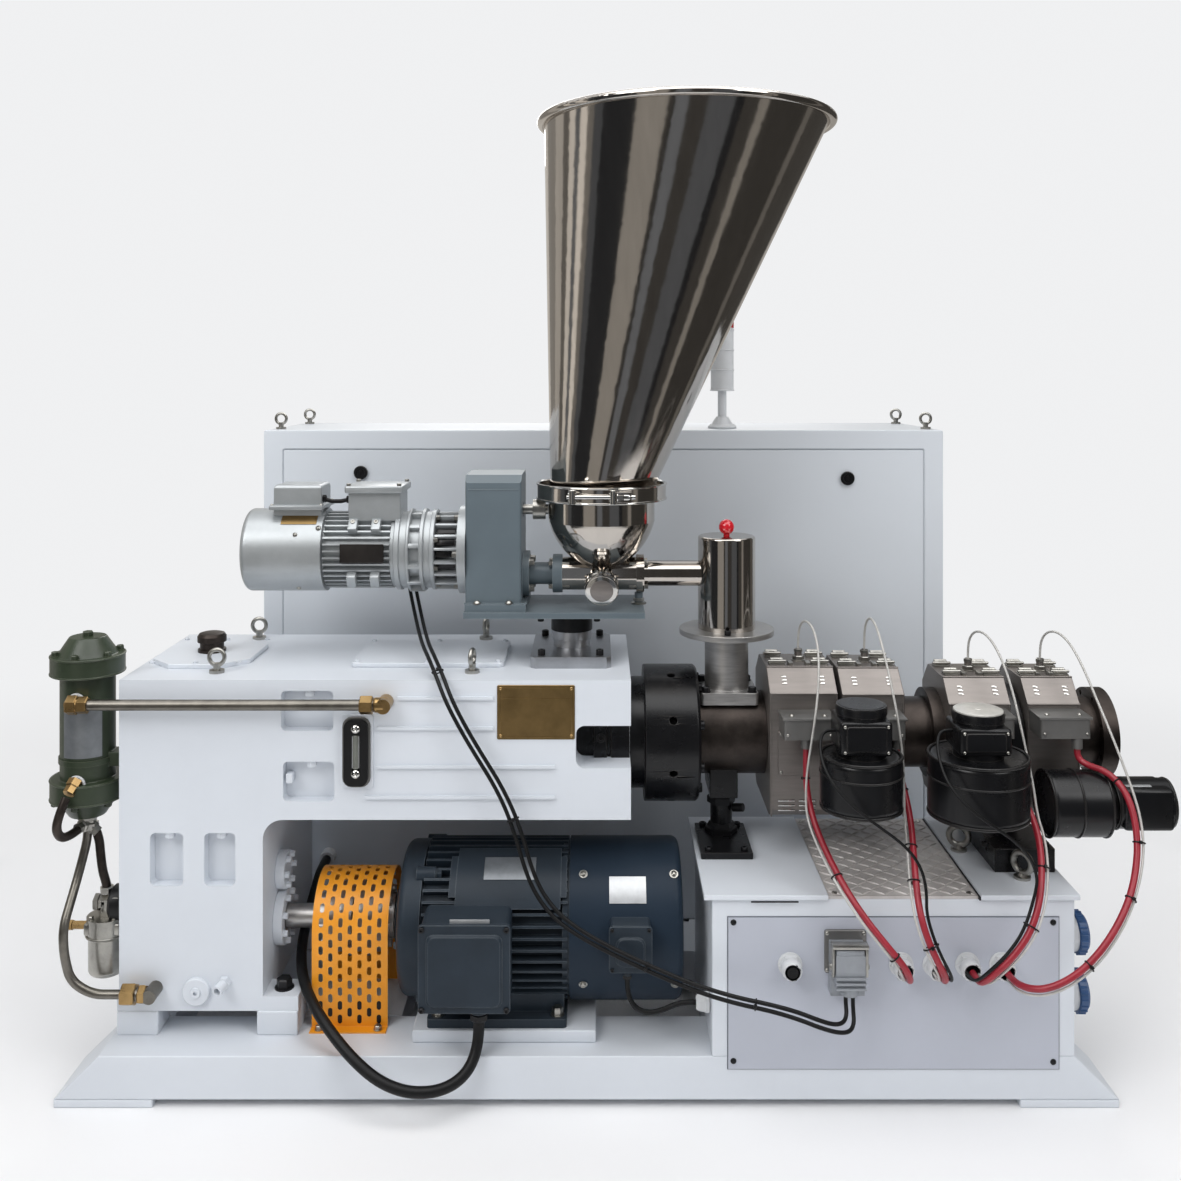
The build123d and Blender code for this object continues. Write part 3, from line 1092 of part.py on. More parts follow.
def cords():
    """The free cables, one node each."""
    for i, route in enumerate(HEATER_ROUTES):
        NODES[f"heater_cable_{i + 1}"] = tube_along(route, 6.5)
    left, right = -SIDE_BY_SIDE, SIDE_BY_SIDE
    last = HEATER_ROUTES[3]
    under = [
        (1047, -447, 566), (1044, -468, 522), (1030, -492, 480), (1003, -521, 433), (968, -549, 393),
        (927, -571, 354.5), (884, -585, 321.7), (842, -588, 297), (807, -582, 282),
    ]
    tails = [
        beside(HEATER_ROUTES[0], 3, dx=left),
        beside(HEATER_ROUTES[1], 3, dx=left),
        beside(HEATER_ROUTES[2], 5, dx=right, dz=-LEAD_STEP),
        under + beside(last, 17, dz=-SIDE_BY_SIDE),
    ]
    for i, (route, tail) in enumerate(zip(THERMOCOUPLE_ROUTES, tails)):
        NODES[f"thermocouple_lead_{i + 1}"] = tube_along(route + tail, 2.5)
    first_fan = [
        (445, -445, 738), (430, -445, 738), (417, -453, 735), (408, -470, 725), (404, -492, 706),
        (409, -515, 682), (424, -533, 655), (450, -545, 627), (482, -548, 602), (514, -545, 578),
        (546, -540, 554), (574, -538, 526), (591, -541, 494), (596, -547, 458),
    ]
    second_fan = [
        (677, -445, 738), (662, -445, 738), (648, -453, 735), (638, -471, 726), (632, -495, 709),
        (632, -520, 686), (641, -543, 659), (664, -559, 631), (698, -564, 604), (734, -561, 580),
        (768, -553, 554), (794, -546, 524), (807, -543, 490), (806, -543, 464),
    ]
    first_tail = beside(HEATER_ROUTES[1], 6, dx=right)
    second_tail = beside(HEATER_ROUTES[2], 9, dx=left, dz=LEAD_STEP)
    NODES["blower_lead_1"] = tube_along(first_fan + first_tail, 3)
    NODES["blower_lead_2"] = tube_along(second_fan + second_tail, 3)
    NODES["motor_cable"] = tube_along(
        [
            (-262, -462, 190), (-262, -462, 152), (-266, -474, 118), (-279, -494, 92), (-306, -512, 74),
            (-346, -524, 66), (-398, -526, 68), (-452, -517, 84), (-506, -494, 114), (-558, -457, 148),
            (-606, -406, 178), (-642, -338, 199), (-664, -252, 210), (-678, -158, 218), (-685, -66, 234),
            (-688, 12, 256), (-688, 58, 262), (-688, 95, 262),
        ],
        11,
    )
    NODES["fan_cable"] = tube_along(
        [
            (30, -438, 250), (30, -438, 230), (33, -440, 206), (45, -442, 186), (66, -441, 175),
            (94, -434, 174), (128, -423, 183), (148, -420, 185), (168, -420, 185),
        ],
        5,
    )
    over_the_gearbox = [
        (-491, -109, 1167), (-491, -94, 1167), (-491, -80, 1162), (-490.5, -69, 1150), (-489.5, -62, 1133),
        (-487, -56, 1108), (-483, -53, 1074), (-477, -56, 1034), (-467, -69, 992), (-454, -98, 948),
        (-437, -146, 910), (-420, -204, 884), (-402, -268, 867), (-381, -332, 856), (-358, -392, 836),
        (-333, -424, 788), (-303, -426, 732), (-272, -428, 681), (-239, -429, 629), (-212, -430, 576),
    ]
    front_1 = [(-192, -432, 520), (-176, -434, 464), (-154, -440, 412), (-118, -452, 370), (-70, -464, 340)]
    front_2 = [(-178, -432, 522), (-163, -434, 468), (-143, -440, 420), (-110, -452, 380), (-65, -464, 351)]
    to_the_box = [
        (-14, -474, 316), (48, -486, 292), (112, -500, 270), (176, -516, 253), (240, -532, 242),
        (302, -546, 236),
    ]
    upper = [
        (352, -554, 236), (391, -555, 221), (421, -548, 209), (441, -535, 206), (449.5, -520.5, 214),
        (450, -511, 227), (450, -508, 238), (450, -508, 248),
    ]
    lower = [
        (354, -556, 223), (395, -559, 208), (430, -553, 196), (453, -540, 192), (463, -524.5, 200),
        (464, -512.5, 215), (464, -508, 230), (464, -508, 248),
    ]
    first = over_the_gearbox + front_1 + beside(to_the_box, 0, dz=-2) + lower
    second = beside(over_the_gearbox, 0, dx=14) + front_2 + beside(to_the_box, 0, dz=10) + upper
    NODES["feeder_cable_1"] = tube_along(first, 4)
    NODES["feeder_cable_2"] = tube_along(second, 4)


base_frame()
gearbox()
drive()
motor()
barrel_line()
heaters()
feeder()
cable_box()
cabinet()
oil_unit()
cords()

for name, shape in NODES.items():
    if isinstance(shape, (list, tuple)):
        shape = Compound(children=[Part(s.wrapped) if not isinstance(s, Part) else s for s in shape])
    export_step(shape, f"parts/{name}.step")
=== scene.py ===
"""Looks of the plastic extruder: finishes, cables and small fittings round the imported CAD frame.

Lengths are written in millimetres in the CAD's frame and scaled once, when a piece is made.
"""

import math
from itertools import product

import bmesh
import bpy
from mathutils import Matrix, Vector


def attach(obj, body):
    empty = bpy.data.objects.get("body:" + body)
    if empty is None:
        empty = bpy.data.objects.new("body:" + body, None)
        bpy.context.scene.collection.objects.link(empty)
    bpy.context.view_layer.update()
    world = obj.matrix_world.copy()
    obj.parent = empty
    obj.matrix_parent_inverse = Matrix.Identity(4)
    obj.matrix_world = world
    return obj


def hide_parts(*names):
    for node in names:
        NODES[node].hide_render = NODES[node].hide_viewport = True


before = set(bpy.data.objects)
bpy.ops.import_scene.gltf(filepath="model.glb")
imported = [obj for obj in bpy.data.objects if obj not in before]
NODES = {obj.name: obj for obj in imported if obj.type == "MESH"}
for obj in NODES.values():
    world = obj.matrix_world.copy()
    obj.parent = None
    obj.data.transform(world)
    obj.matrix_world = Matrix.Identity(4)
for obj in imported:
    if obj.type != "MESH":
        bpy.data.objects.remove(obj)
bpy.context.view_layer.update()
MM = 0.001
UP, DOWN = (0, 0, 1), (0, 0, -1)
FRONT, BACK = (0, -1, 0), (0, 1, 0)
RIGHT, LEFT = (1, 0, 0), (-1, 0, 0)

# Places shared with the CAD source, in millimetres
AXIS_Y, AXIS_Z = -175.0, 655.0
GEAR_FACE, GEAR_TOP = -387.0, 822.0
LEG_FACE = -709.0
DRIVE_Y, DRIVE_Z = -260.0, 287.0
MOTOR_R = 160.0
BOX_FACE, BOX_TOP = -465.0, 412.0
CAB_FACE, CAB_BACK, CAB_TOP = 125.0, 545.0, 1305.0
FEED_Z = 1057.0
DECK_TOP = 937.0
SCREW_Z = 1004.0
BLOWER_Y = -445.0
COOLER = (-1084, -340)
FILTER = (-1044, -340)


# Materials

DUST = (0.42, 0.41, 0.39, 1)
COAT_ROUGH = 0.12
WEAR_REACH = 0.003
WEAR_FROM, WEAR_FULL = 0.99, 0.86
DUST_FROM = 0.55
PATCH_DETAIL, PATCH_ROUGH, GRAIN_DETAIL = 6, 0.62, 3
DARK_AT, LIGHT_AT = 0.30, 0.68
DARKER, LIGHTER = 1.6, 0.5
BUMP_DEPTH = 0.001
THREAD_LEAN, THREAD_SKEW, THREAD_RELIEF, THREAD_DEPTH = 0.8, 0.3, 0.35, 0.0006


def srgb(r, g, b):
    """A colour read as 0 to 255 values, made linear."""
    def linear(c):
        c /= 255
        return c / 12.92 if c <= 0.04045 else ((c + 0.055) / 1.055) ** 2.4
    return (linear(r), linear(g), linear(b), 1.0)


def node(tree, kind, sockets={}, **settings):
    """Adds a node and returns its outputs. A socket takes a value or the output that feeds it."""
    made = tree.nodes.new("ShaderNode" + kind)
    for key, value in settings.items():
        setattr(made, key, value)
    for key, value in sockets.items():
        if isinstance(value, bpy.types.NodeSocket):
            tree.links.new(value, made.inputs[key])
        else:
            made.inputs[key].default_value = value
    return made.outputs


def blend(tree, share, tint, colour):
    """A tint that turns into a plain colour by a share of 0 to 1."""
    return node(tree, "Mix", {0: share, 6: tint, 7: colour}, data_type="RGBA")[2]


def dusted(tree, tint, amount):
    """Pale dust on what faces up."""
    normal = node(tree, "NewGeometry")["Normal"]
    upward = node(tree, "SeparateXYZ", {"Vector": normal})["Z"]
    settled = node(tree, "MapRange", {"Value": upward, "From Min": DUST_FROM, "To Max": amount})["Result"]
    return blend(tree, settled, tint, DUST)


def worn_edges(tree, tint, patchy, colour, amount):
    """Rubbed paint: where the surface turns sharply, in patches, another colour shows."""
    rounded = node(tree, "Bevel", {"Radius": WEAR_REACH}, samples=4)["Normal"]
    flat = node(tree, "NewGeometry")["Normal"]
    turned = node(tree, "VectorMath", {0: rounded, 1: flat}, operation="DOT_PRODUCT")["Value"]
    edge = node(tree, "MapRange", {"Value": turned, "From Min": WEAR_FROM, "From Max": WEAR_FULL,
                                   "To Max": amount})["Result"]
    rubbed = node(tree, "Math", {0: edge, 1: patchy}, operation="MULTIPLY")["Value"]
    return blend(tree, rubbed, tint, srgb(*colour))


def finish(name, colour, rough, metal=0.0, patches=(0.08, 5), spread=0.08, bump=None, stretch=(1, 1, 1),
           coat=0.0, dust=0.0, spec=0.5, wear=None):
    """A surface with patchy colour, uneven gloss and a fine bump, in object space.

    Patches and bump are an amount and a scale, wear is the colour under the paint and an amount.
    """
    mat = bpy.data.materials.new(name)
    mat.use_nodes = True
    tree = mat.node_tree
    shader = tree.nodes["Principled BSDF"].inputs
    shader["Metallic"].default_value = metal
    shader["Coat Weight"].default_value = coat
    shader["Coat Roughness"].default_value = COAT_ROUGH
    shader["Specular IOR Level"].default_value = spec
    places = node(tree, "TexCoord")["Object"]
    places = node(tree, "Mapping", {"Vector": places, "Scale": stretch})["Vector"]
    uneven, scale = patches
    patchy = node(tree, "TexNoise", {"Vector": places, "Scale": scale, "Detail": PATCH_DETAIL,
                                     "Roughness": PATCH_ROUGH})["Fac"]
    tint = node(tree, "ValToRGB", {"Fac": patchy})["Color"]
    dark, light = tint.node.color_ramp.elements
    for stop, position, share in [(dark, DARK_AT, 1 - DARKER * uneven),
                                  (light, LIGHT_AT, 1 + LIGHTER * uneven)]:
        stop.position = position
        stop.color = (*[min(1.0, c * share) for c in srgb(*colour)[:3]], 1)
    if dust:
        tint = dusted(tree, tint, dust)
    if wear:
        tint = worn_edges(tree, tint, patchy, *wear)
    tree.links.new(tint, shader["Base Color"])
    gloss = node(tree, "MapRange", {"Value": patchy, "To Min": max(0.02, rough - spread),
                                    "To Max": min(1.0, rough + spread)})["Result"]
    tree.links.new(gloss, shader["Roughness"])
    if bump:
        height, fineness = bump
        grain = node(tree, "TexNoise", {"Vector": places, "Scale": fineness, "Detail": GRAIN_DETAIL})["Fac"]
        relief = node(tree, "Bump", {"Height": grain, "Strength": height, "Distance": BUMP_DEPTH})["Normal"]
        tree.links.new(relief, shader["Normal"])
    return mat


def braid(name, colour, rough, metal, scale):
    """A woven sleeve: two crossing sets of fine threads."""
    mat = finish(name, colour, rough, metal, patches=(0.10, 60))
    tree = mat.node_tree
    places = node(tree, "TexCoord")["Object"]
    threads = []
    for turn in (THREAD_LEAN, -THREAD_LEAN):
        spun = node(tree, "Mapping", {"Vector": places, "Rotation": (turn, turn, THREAD_SKEW)})["Vector"]
        threads.append(node(tree, "TexWave", {"Vector": spun, "Scale": scale})["Fac"])
    crossing = node(tree, "Math", {0: threads[0], 1: threads[1]}, operation="MAXIMUM")["Value"]
    relief = node(tree, "Bump", {"Height": crossing, "Strength": THREAD_RELIEF,
                                 "Distance": THREAD_DEPTH})["Normal"]
    tree.links.new(relief, tree.nodes["Principled BSDF"].inputs["Normal"])
    return mat


WHITE = finish("white_enamel", (214, 219, 226), 0.38, patches=(0.035, 2.4), bump=(0.05, 90), dust=0.02,
               wear=((176, 180, 186), 0.6))
PANEL_GREY = finish("pale_grey_enamel", (182, 186, 197), 0.40, patches=(0.03, 3), bump=(0.05, 120))
CABINET = finish("cabinet_enamel", (210, 215, 221), 0.34, patches=(0.025, 1.6), bump=(0.04, 260))
MOTOR_BLUE = finish("motor_enamel", (38, 48, 58), 0.46, patches=(0.16, 9), bump=(0.16, 210), dust=0.02,
                    spec=0.25, wear=((120, 128, 134), 0.7))
COWL_BLUE = finish("cowl_enamel", (33, 45, 58), 0.42, patches=(0.10, 4), bump=(0.05, 160), dust=0.01,
                   spec=0.15)
ORANGE = finish("orange_coat", (235, 152, 28), 0.42, patches=(0.06, 14), bump=(0.06, 320),
                wear=((214, 176, 110), 0.8))
FEED_GREY = finish("blue_grey_enamel", (92, 104, 111), 0.40, patches=(0.08, 6), bump=(0.08, 200), dust=0.06,
                   wear=((150, 158, 162), 0.8))
GREEN = finish("dark_green_enamel", (50, 60, 44), 0.34, patches=(0.16, 12), bump=(0.14, 120),
               wear=((112, 116, 98), 0.8))
BLACK = finish("black_enamel", (17, 17, 19), 0.28, patches=(0.12, 10), bump=(0.05, 180), spec=0.35,
               wear=((88, 84, 80), 0.7))
BLACK_PLASTIC = finish("black_plastic", (19, 19, 21), 0.38, patches=(0.10, 30), bump=(0.10, 500), spec=0.3)
OXIDE = finish("oiled_dark_steel", (68, 61, 57), 0.42, 0.85, patches=(0.38, 16), spread=0.16, bump=(0.10, 80))
BLACK_OXIDE = finish("black_oxide", (30, 30, 32), 0.36, 0.5, patches=(0.2, 40), bump=(0.05, 300))
# its faint vertical streaks are partly rolled-sheet grain and partly painted reflection bands
MIRROR = finish("polished_stainless", (192, 186, 179), 0.10, 1.0, patches=(0.05, 5), spread=0.03,
                stretch=(8, 8, 0.3))
SATIN = finish("turned_stainless", (190, 188, 186), 0.36, 0.9, patches=(0.12, 24), spread=0.10,
               bump=(0.05, 300), stretch=(1, 1, 9))
ZINC = finish("zinc_plate", (176, 174, 168), 0.32, 1.0, patches=(0.18, 30), spread=0.1)
CHROME = finish("nickel_plate", (208, 206, 202), 0.14, 1.0, patches=(0.08, 40))
BRASS = finish("brass", (172, 142, 96), 0.30, 1.0, patches=(0.2, 24), spread=0.1)
BRASS_PLATE = finish("etched_brass_plate", (142, 117, 76), 0.36, 0.9, patches=(0.12, 30), bump=(0.05, 600))
PIPE = finish("steel_tube", (126, 122, 115), 0.36, 1.0, patches=(0.24, 20), spread=0.12)
SILVER = finish("silver_enamel", (172, 176, 178), 0.36, 0.55, patches=(0.08, 14), bump=(0.12, 420))
ALU = finish("milled_aluminium", (186, 187, 190), 0.32, 1.0, patches=(0.10, 18), bump=(0.05, 300),
             stretch=(1, 14, 1))
TREAD = finish("tread_plate", (206, 201, 198), 0.38, 0.12, patches=(0.16, 12), spread=0.14)
SHEET = finish("dull_stainless_sheet", (136, 130, 126), 0.40, 0.75, patches=(0.10, 10), stretch=(1, 1, 10))
SHEET_DARK = finish("grey_sheet", (122, 121, 119), 0.42, 0.55, patches=(0.10, 14))
RED = finish("red_ball", (200, 28, 40), 0.12, patches=(0.04, 30), coat=0.6)
BLUE = finish("blue_plastic", (52, 84, 128), 0.34, patches=(0.06, 30), bump=(0.04, 300))
LIGHT_PLASTIC = finish("pale_grey_plastic", (206, 208, 210), 0.44, patches=(0.04, 40), bump=(0.05, 300))
GREY_PLASTIC = finish("grey_cast_hood", (150, 154, 160), 0.42, 0.2, patches=(0.08, 40), bump=(0.14, 500))
GLASS = finish("gauge_glass", (112, 114, 108), 0.10, patches=(0.15, 30), coat=0.8)
LENS = finish("red_lens", (178, 44, 52), 0.20, patches=(0.05, 60), coat=0.5)
# painted shade: the grey of the shadowed gap round the cable box's front panel
GAP_SHADE = finish("painted_gap_shade", (112, 116, 124), 0.6, patches=(0.05, 20))
DARK_PLATE = finish("dark_label_plate", (44, 40, 38), 0.34, 0.4, patches=(0.12, 50))
PALE_PLATE = finish("pale_label_plate", (196, 198, 200), 0.34, 0.5, patches=(0.08, 50))
DULL_PLATE = finish("dull_label_plate", (134, 138, 142), 0.36, 0.6, patches=(0.10, 50))
DISC_WHITE = finish("pale_disc", (214, 212, 206), 0.30, 0.3, patches=(0.14, 26))
RUBBER = finish("black_rubber", (17, 17, 18), 0.46, patches=(0.10, 40), bump=(0.08, 700), spec=0.25)
RED_CABLE = finish("red_sleeve", (152, 36, 50), 0.36, patches=(0.10, 30), bump=(0.05, 500))
LEAD_SLEEVE = braid("steel_braid", (198, 196, 192), 0.40, 0.25, 900)


# Mesh building: every shape is added to a bmesh, in millimetres

def facing(axis):
    """The turn that takes Z onto an axis."""
    return Vector(UP).rotation_difference(Vector(axis).normalized()).to_matrix()


def pair(middle, half):
    """Two places, either side of a middle."""
    return (middle - half, middle + half)


def bolt_circle(count, r, shift=0.5):
    """Places round a circle, as sine and cosine times its radius, shifted by a share of a step."""
    for i in range(count):
        a = 2 * math.pi * (i + shift) / count
        yield r * math.sin(a), r * math.cos(a)


def skin(bm, rings, closed=False):
    """Faces between neighbouring rings, and from the last to the first if closed."""
    for low, high in zip(rings, rings[1:] + (rings[:1] if closed else [])):
        for i in range(len(low)):
            j = (i + 1) % len(low)
            bm.faces.new((low[i], low[j], high[j], high[i]))


def cap_ends(bm, rings):
    """Faces over the first and last rings."""
    bm.faces.new(list(reversed(rings[0])))
    bm.faces.new(rings[-1])


def turned_rings(bm, at, axis, profile, steps):
    """Rings of vertices about an axis, at (along, radius) from the foot."""
    turn = facing(axis)
    angles = [2 * math.pi * i / steps for i in range(steps)]
    return [[bm.verts.new(Vector(at) + turn @ Vector((r * math.cos(a), r * math.sin(a), along)))
             for a in angles] for along, r in profile]


def lathe(bm, at, axis, profile, steps=32):
    """A turned shape: (along, radius) from its foot, about an axis."""
    rings = turned_rings(bm, at, axis, profile, steps)
    skin(bm, rings)
    cap_ends(bm, rings)


def rod(bm, at, axis, length, r, steps=24, edge=1.0):
    """A round bar with eased ends."""
    lathe(bm, at, axis, [(0, r - edge), (edge, r), (length - edge, r), (length, r - edge)], steps)


def tube(bm, at, axis, length, r, bore, steps=32):
    """A sleeve, open through."""
    profile = [(0, bore), (0, r), (length, r), (length, bore)]
    skin(bm, turned_rings(bm, at, axis, profile, steps), closed=True)


def torus(bm, at, axis, big, small, steps=36, sides=12, stretch=1.0, turn=None):
    """A ring; stretched, it is an oval along the turn's first axis."""
    turn = facing(axis) if turn is None else turn
    rings = []
    for i in range(steps):
        a = 2 * math.pi * i / steps
        centre = Vector((big * stretch * math.cos(a), big * math.sin(a), 0))
        out = Vector((math.cos(a), math.sin(a), 0))
        ring = []
        for k in range(sides):
            b = 2 * math.pi * k / sides
            p = centre + out * (small * math.cos(b)) + Vector((0, 0, small * math.sin(b)))
            ring.append(bm.verts.new(Vector(at) + turn @ p))
        rings.append(ring)
    skin(bm, rings, closed=True)


def box(bm, low, high, edge=1.0, segments=2, turn=None):
    """A block between two corners with eased edges, turned about its middle if asked."""
    low, high = Vector(low), Vector(high)
    verts = bmesh.ops.create_cube(bm, size=1.0)["verts"]
    size, centre = high - low, (high + low) / 2
    for v in verts:
        v.co = v.co * size + centre
    if edge:
        edges = list({e for v in verts for e in v.link_edges})
        done = bmesh.ops.bevel(bm, geom=edges, offset=min(edge, min(size) * 0.45), segments=segments,
                               affect="EDGES", profile=0.5)
        verts = list({v for f in done["faces"] for v in f.verts} | {v for v in verts if v.is_valid})
    if turn is not None:
        for v in verts:
            v.co = centre + turn @ (v.co - centre)


def panel(bm, at, axis, wide, high, thick, corner, edge=1.0, side=RIGHT):
    """A flat plate with rounded corners on a face: centre of its foot, outward axis, size."""
    out, across = Vector(axis).normalized(), Vector(side).normalized()
    along = out.cross(across)
    outline = []
    for sx, sy, start in [(1, 1, 0), (-1, 1, 90), (-1, -1, 180), (1, -1, 270)]:
        for k in range(5):
            a = math.radians(start + 22.5 * k)
            outline.append((sx * (wide / 2 - corner) + corner * math.cos(a),
                            sy * (high / 2 - corner) + corner * math.sin(a)))
    rings = []
    for lift, shrink in [(0, 0), (thick - edge, 0), (thick, edge)]:
        narrow, low = 1 - 2 * shrink / wide, 1 - 2 * shrink / high
        rings.append([bm.verts.new(Vector(at) + across * (u * narrow) + along * (v * low) + out * lift)
                      for u, v in outline])
    skin(bm, rings)
    cap_ends(bm, rings)


def hex_bolt(bm, at, axis, across, high):
    """A hexagon head on its washer."""
    r = across / 2 / math.cos(math.pi / 6)
    washer = across * 0.1
    lathe(bm, at, axis, [(0, r * 1.22), (across * 0.09, r * 1.22), (washer, r * 1.18)], 24)
    start = Vector(at) + Vector(axis).normalized() * washer
    lathe(bm, start, axis, [(0, r), (high * 0.84, r), (high, r * 0.84)], 6)


def cap_screw(bm, at, axis, r, high):
    """A socket head screw."""
    lathe(bm, at, axis, [(0, r), (high * 0.86, r), (high, r * 0.88), (high, r * 0.52),
                         (high * 0.5, r * 0.5)], 18)


def pan_screw(bm, at, axis, r, high):
    """A low round head with a recess."""
    lathe(bm, at, axis, [(0, r), (high * 0.4, r * 0.96), (high * 0.8, r * 0.72), (high, r * 0.4),
                         (high * 0.7, r * 0.16)], 18)


def grid(bm, fastener, xs, ys, zs, axis, *size):
    """The same fastener at every crossing of three lists of places."""
    for place in product(xs, ys, zs):
        fastener(bm, place, axis, *size)


def curved_plate(bm, centre, along, zero, r, run, angles, thick, steps=8):
    """A thin plate lying on a cylinder: its axis, the direction of angle 0, its run and its angles."""
    centre, along, zero = Vector(centre), Vector(along), Vector(zero)
    side = along.cross(zero)
    first, last = angles
    rows = []
    for radius in (r, r + thick):
        row = []
        for i in range(steps + 1):
            a = math.radians(first + (last - first) * i / steps)
            out = centre + (zero * math.cos(a) + side * math.sin(a)) * radius
            row.append([bm.verts.new(out + along * l) for l in run])
        rows.append(row)
    low, high = rows
    for i in range(steps):
        bm.faces.new((high[i][0], high[i + 1][0], high[i + 1][1], high[i][1]))
        bm.faces.new((low[i][1], low[i + 1][1], low[i + 1][0], low[i][0]))
        bm.faces.new((low[i][0], low[i + 1][0], high[i + 1][0], high[i][0]))
        bm.faces.new((high[i][1], high[i + 1][1], low[i + 1][1], low[i][1]))
    for i in (0, steps):
        bm.faces.new((low[i][0], high[i][0], high[i][1], low[i][1]))


def smooth(mesh, angle=32):
    """Smooth shading between faces that meet at less than an angle."""
    for face in mesh.polygons:
        face.use_smooth = True
    mesh.set_sharp_from_angle(angle=math.radians(angle))


def show(name, data):
    """Puts a mesh or curve into the scene."""
    obj = bpy.data.objects.new(name, data)
    bpy.context.scene.collection.objects.link(obj)
    return obj


def piece(name, bm, mat):
    """Makes the object from a bmesh in millimetres and lets it ride."""
    bmesh.ops.recalc_face_normals(bm, faces=bm.faces)
    bmesh.ops.scale(bm, vec=(MM, MM, MM), verts=bm.verts)
    mesh = bpy.data.meshes.new(name)
    bm.to_mesh(mesh)
    bm.free()
    smooth(mesh)
    mesh.materials.append(mat)
    obj = show(name, mesh)
    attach(obj, "machine")
    return obj


def single(name, mat, slot, shape, *size):
    """A piece of one shape."""
    bm = bmesh.new()
    shape(bm, *size)
    piece(name, bm, mat)


def dress(name, mat):
    """Gives a CAD node its material."""
    materials = NODES[name].data.materials
    materials.clear()
    materials.append(mat)


WELD = 0.00002
SHARP_ANGLE, EASE_ANGLE = 36, 38


def soften(name, mat, edge, segments=2):
    """A copy of a CAD node with its sharp edges eased, shown in its place."""
    bm = bmesh.new()
    bm.from_mesh(NODES[name].data)
    bmesh.ops.remove_doubles(bm, verts=bm.verts, dist=WELD)
    mesh = bpy.data.meshes.new(name + "_eased")
    bm.to_mesh(mesh)
    bm.free()
    smooth(mesh, SHARP_ANGLE)
    mesh.materials.append(mat)
    obj = show(name + "_eased", mesh)
    ease = obj.modifiers.new("edges", "BEVEL")
    ease.width = edge * MM
    ease.segments = segments
    ease.limit_method = "ANGLE"
    ease.angle_limit = math.radians(EASE_ANGLE)
    ease.use_clamp_overlap = False
    ease.miter_outer = "MITER_ARC"
    flat = obj.modifiers.new("flat", "WEIGHTED_NORMAL")
    flat.keep_sharp = False
    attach(obj, "machine")
    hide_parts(name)


# Camera, at the photograph's place: level, with the frame shifted down

CAMERA_PLACE = (-0.030, -2.825, 1.448)
SENSOR, LENS_LENGTH, FARTHEST = 36, 36.58, 100
SHIFT_X, SHIFT_Y = -0.0055, -0.185
camera = show("camera", bpy.data.cameras.new("camera"))
bpy.context.scene.camera = camera
camera.location = CAMERA_PLACE
camera.rotation_euler = (math.radians(90), 0, 0)
camera.data.sensor_width = SENSOR
camera.data.lens = LENS_LENGTH
camera.data.shift_x = SHIFT_X
camera.data.shift_y = SHIFT_Y
camera.data.clip_end = FARTHEST


# Cables: the CAD routes' points, as smooth splines

LEAD_Y, ENTRY_FACE, ENTRY_Z = -335, -503, 285
HEATER_ROUTES = [
    [(404, LEAD_Y, 668), (404, LEAD_Y, 634), (402, -348, 590), (408, -390, 540), (424, -448, 496),
     (446, -508, 456), (476, -548, 414), (512, -566, 372), (543, -569, 336), (556, -565, 314),
     (562.5, -555, 298.5), (566, -540, 288.5), (567, -523, ENTRY_Z), (567, ENTRY_FACE, ENTRY_Z)],
    [(592, LEAD_Y, 668), (592, LEAD_Y, 634), (601, -358, 594), (603, -402, 548), (594, -458, 508),
     (584, -512, 468), (582, -552, 420), (594, -570, 374), (612, -572, 336), (624, -566, 314),
     (630, -555, 298.5), (632.5, -540, 288.5), (633, -523, ENTRY_Z), (633, ENTRY_FACE, ENTRY_Z)],
    [(812, LEAD_Y, 668), (812, LEAD_Y, 644), (815, -341, 622), (823, -358, 602), (833, -384, 584),
     (841, -418, 562), (842, -458, 530), (832, -502, 488), (813, -542, 442), (787, -566, 394),
     (752, -576, 354), (722, -574, 324), (707, -566, 305), (700, -554, 293), (697.5, -539, 287),
     (697, -522, ENTRY_Z), (697, ENTRY_FACE, ENTRY_Z)],
    [(966, LEAD_Y, 668), (966, LEAD_Y, 657), (969, -338, 647), (976, -345, 640), (986, -357, 637),
     (1000, -374, 636), (1016, -397, 628), (1029, -424, 606), (1035, -447, 568), (1032, -468, 522),
     (1018, -492, 480), (994, -521, 440), (960, -549, 402), (920, -571, 364), (878, -585, 332),
     (838, -588, 308), (806, -582, 294), (784, -568, 288), (770.5, -549, 285.8), (765, -527, ENTRY_Z),
     (764, ENTRY_FACE, ENTRY_Z)],
]
THERMOCOUPLE_ROUTES = [
    [(414, AXIS_Y, 838), (414, AXIS_Y, 866), (416, -186, 890), (420, -208, 906), (427, -238, 908),
     (433, -268, 896), (435, -296, 872), (433, -322, 840), (428, -344, 802), (421, -360, 760),
     (413, -370, 716), (405, -374, 672), (399, -375, 630), (395, -379, 588)],
    [(560, AXIS_Y, 836), (560, AXIS_Y, 864), (560, -186, 892), (561, -208, 911), (563, -238, 916),
     (566, -269, 904), (569, -298, 878), (573, -324, 842), (578, -346, 800), (584, -363, 756),
     (589, -373, 710), (593, -379, 664), (594, -386, 622), (592, -396, 584)],
    [(789, AXIS_Y, 816), (789, AXIS_Y, 842), (791, -184, 866), (796, -204, 882), (804, -232, 886),
     (813, -262, 874), (821, -290, 850), (828, -316, 816), (834, -338, 776), (839, -356, 732),
     (844, -372, 688), (849, -386, 644), (853, -400, 604)],
    [(948, AXIS_Y, 816), (948, AXIS_Y, 842), (951, -184, 866), (957, -204, 882), (966, -232, 886),
     (976, -260, 874), (985, -286, 850), (994, -312, 816), (1002, -338, 778), (1011, -365, 738),
     (1020, -391, 696), (1030, -414, 652), (1040, -432, 608)],
]
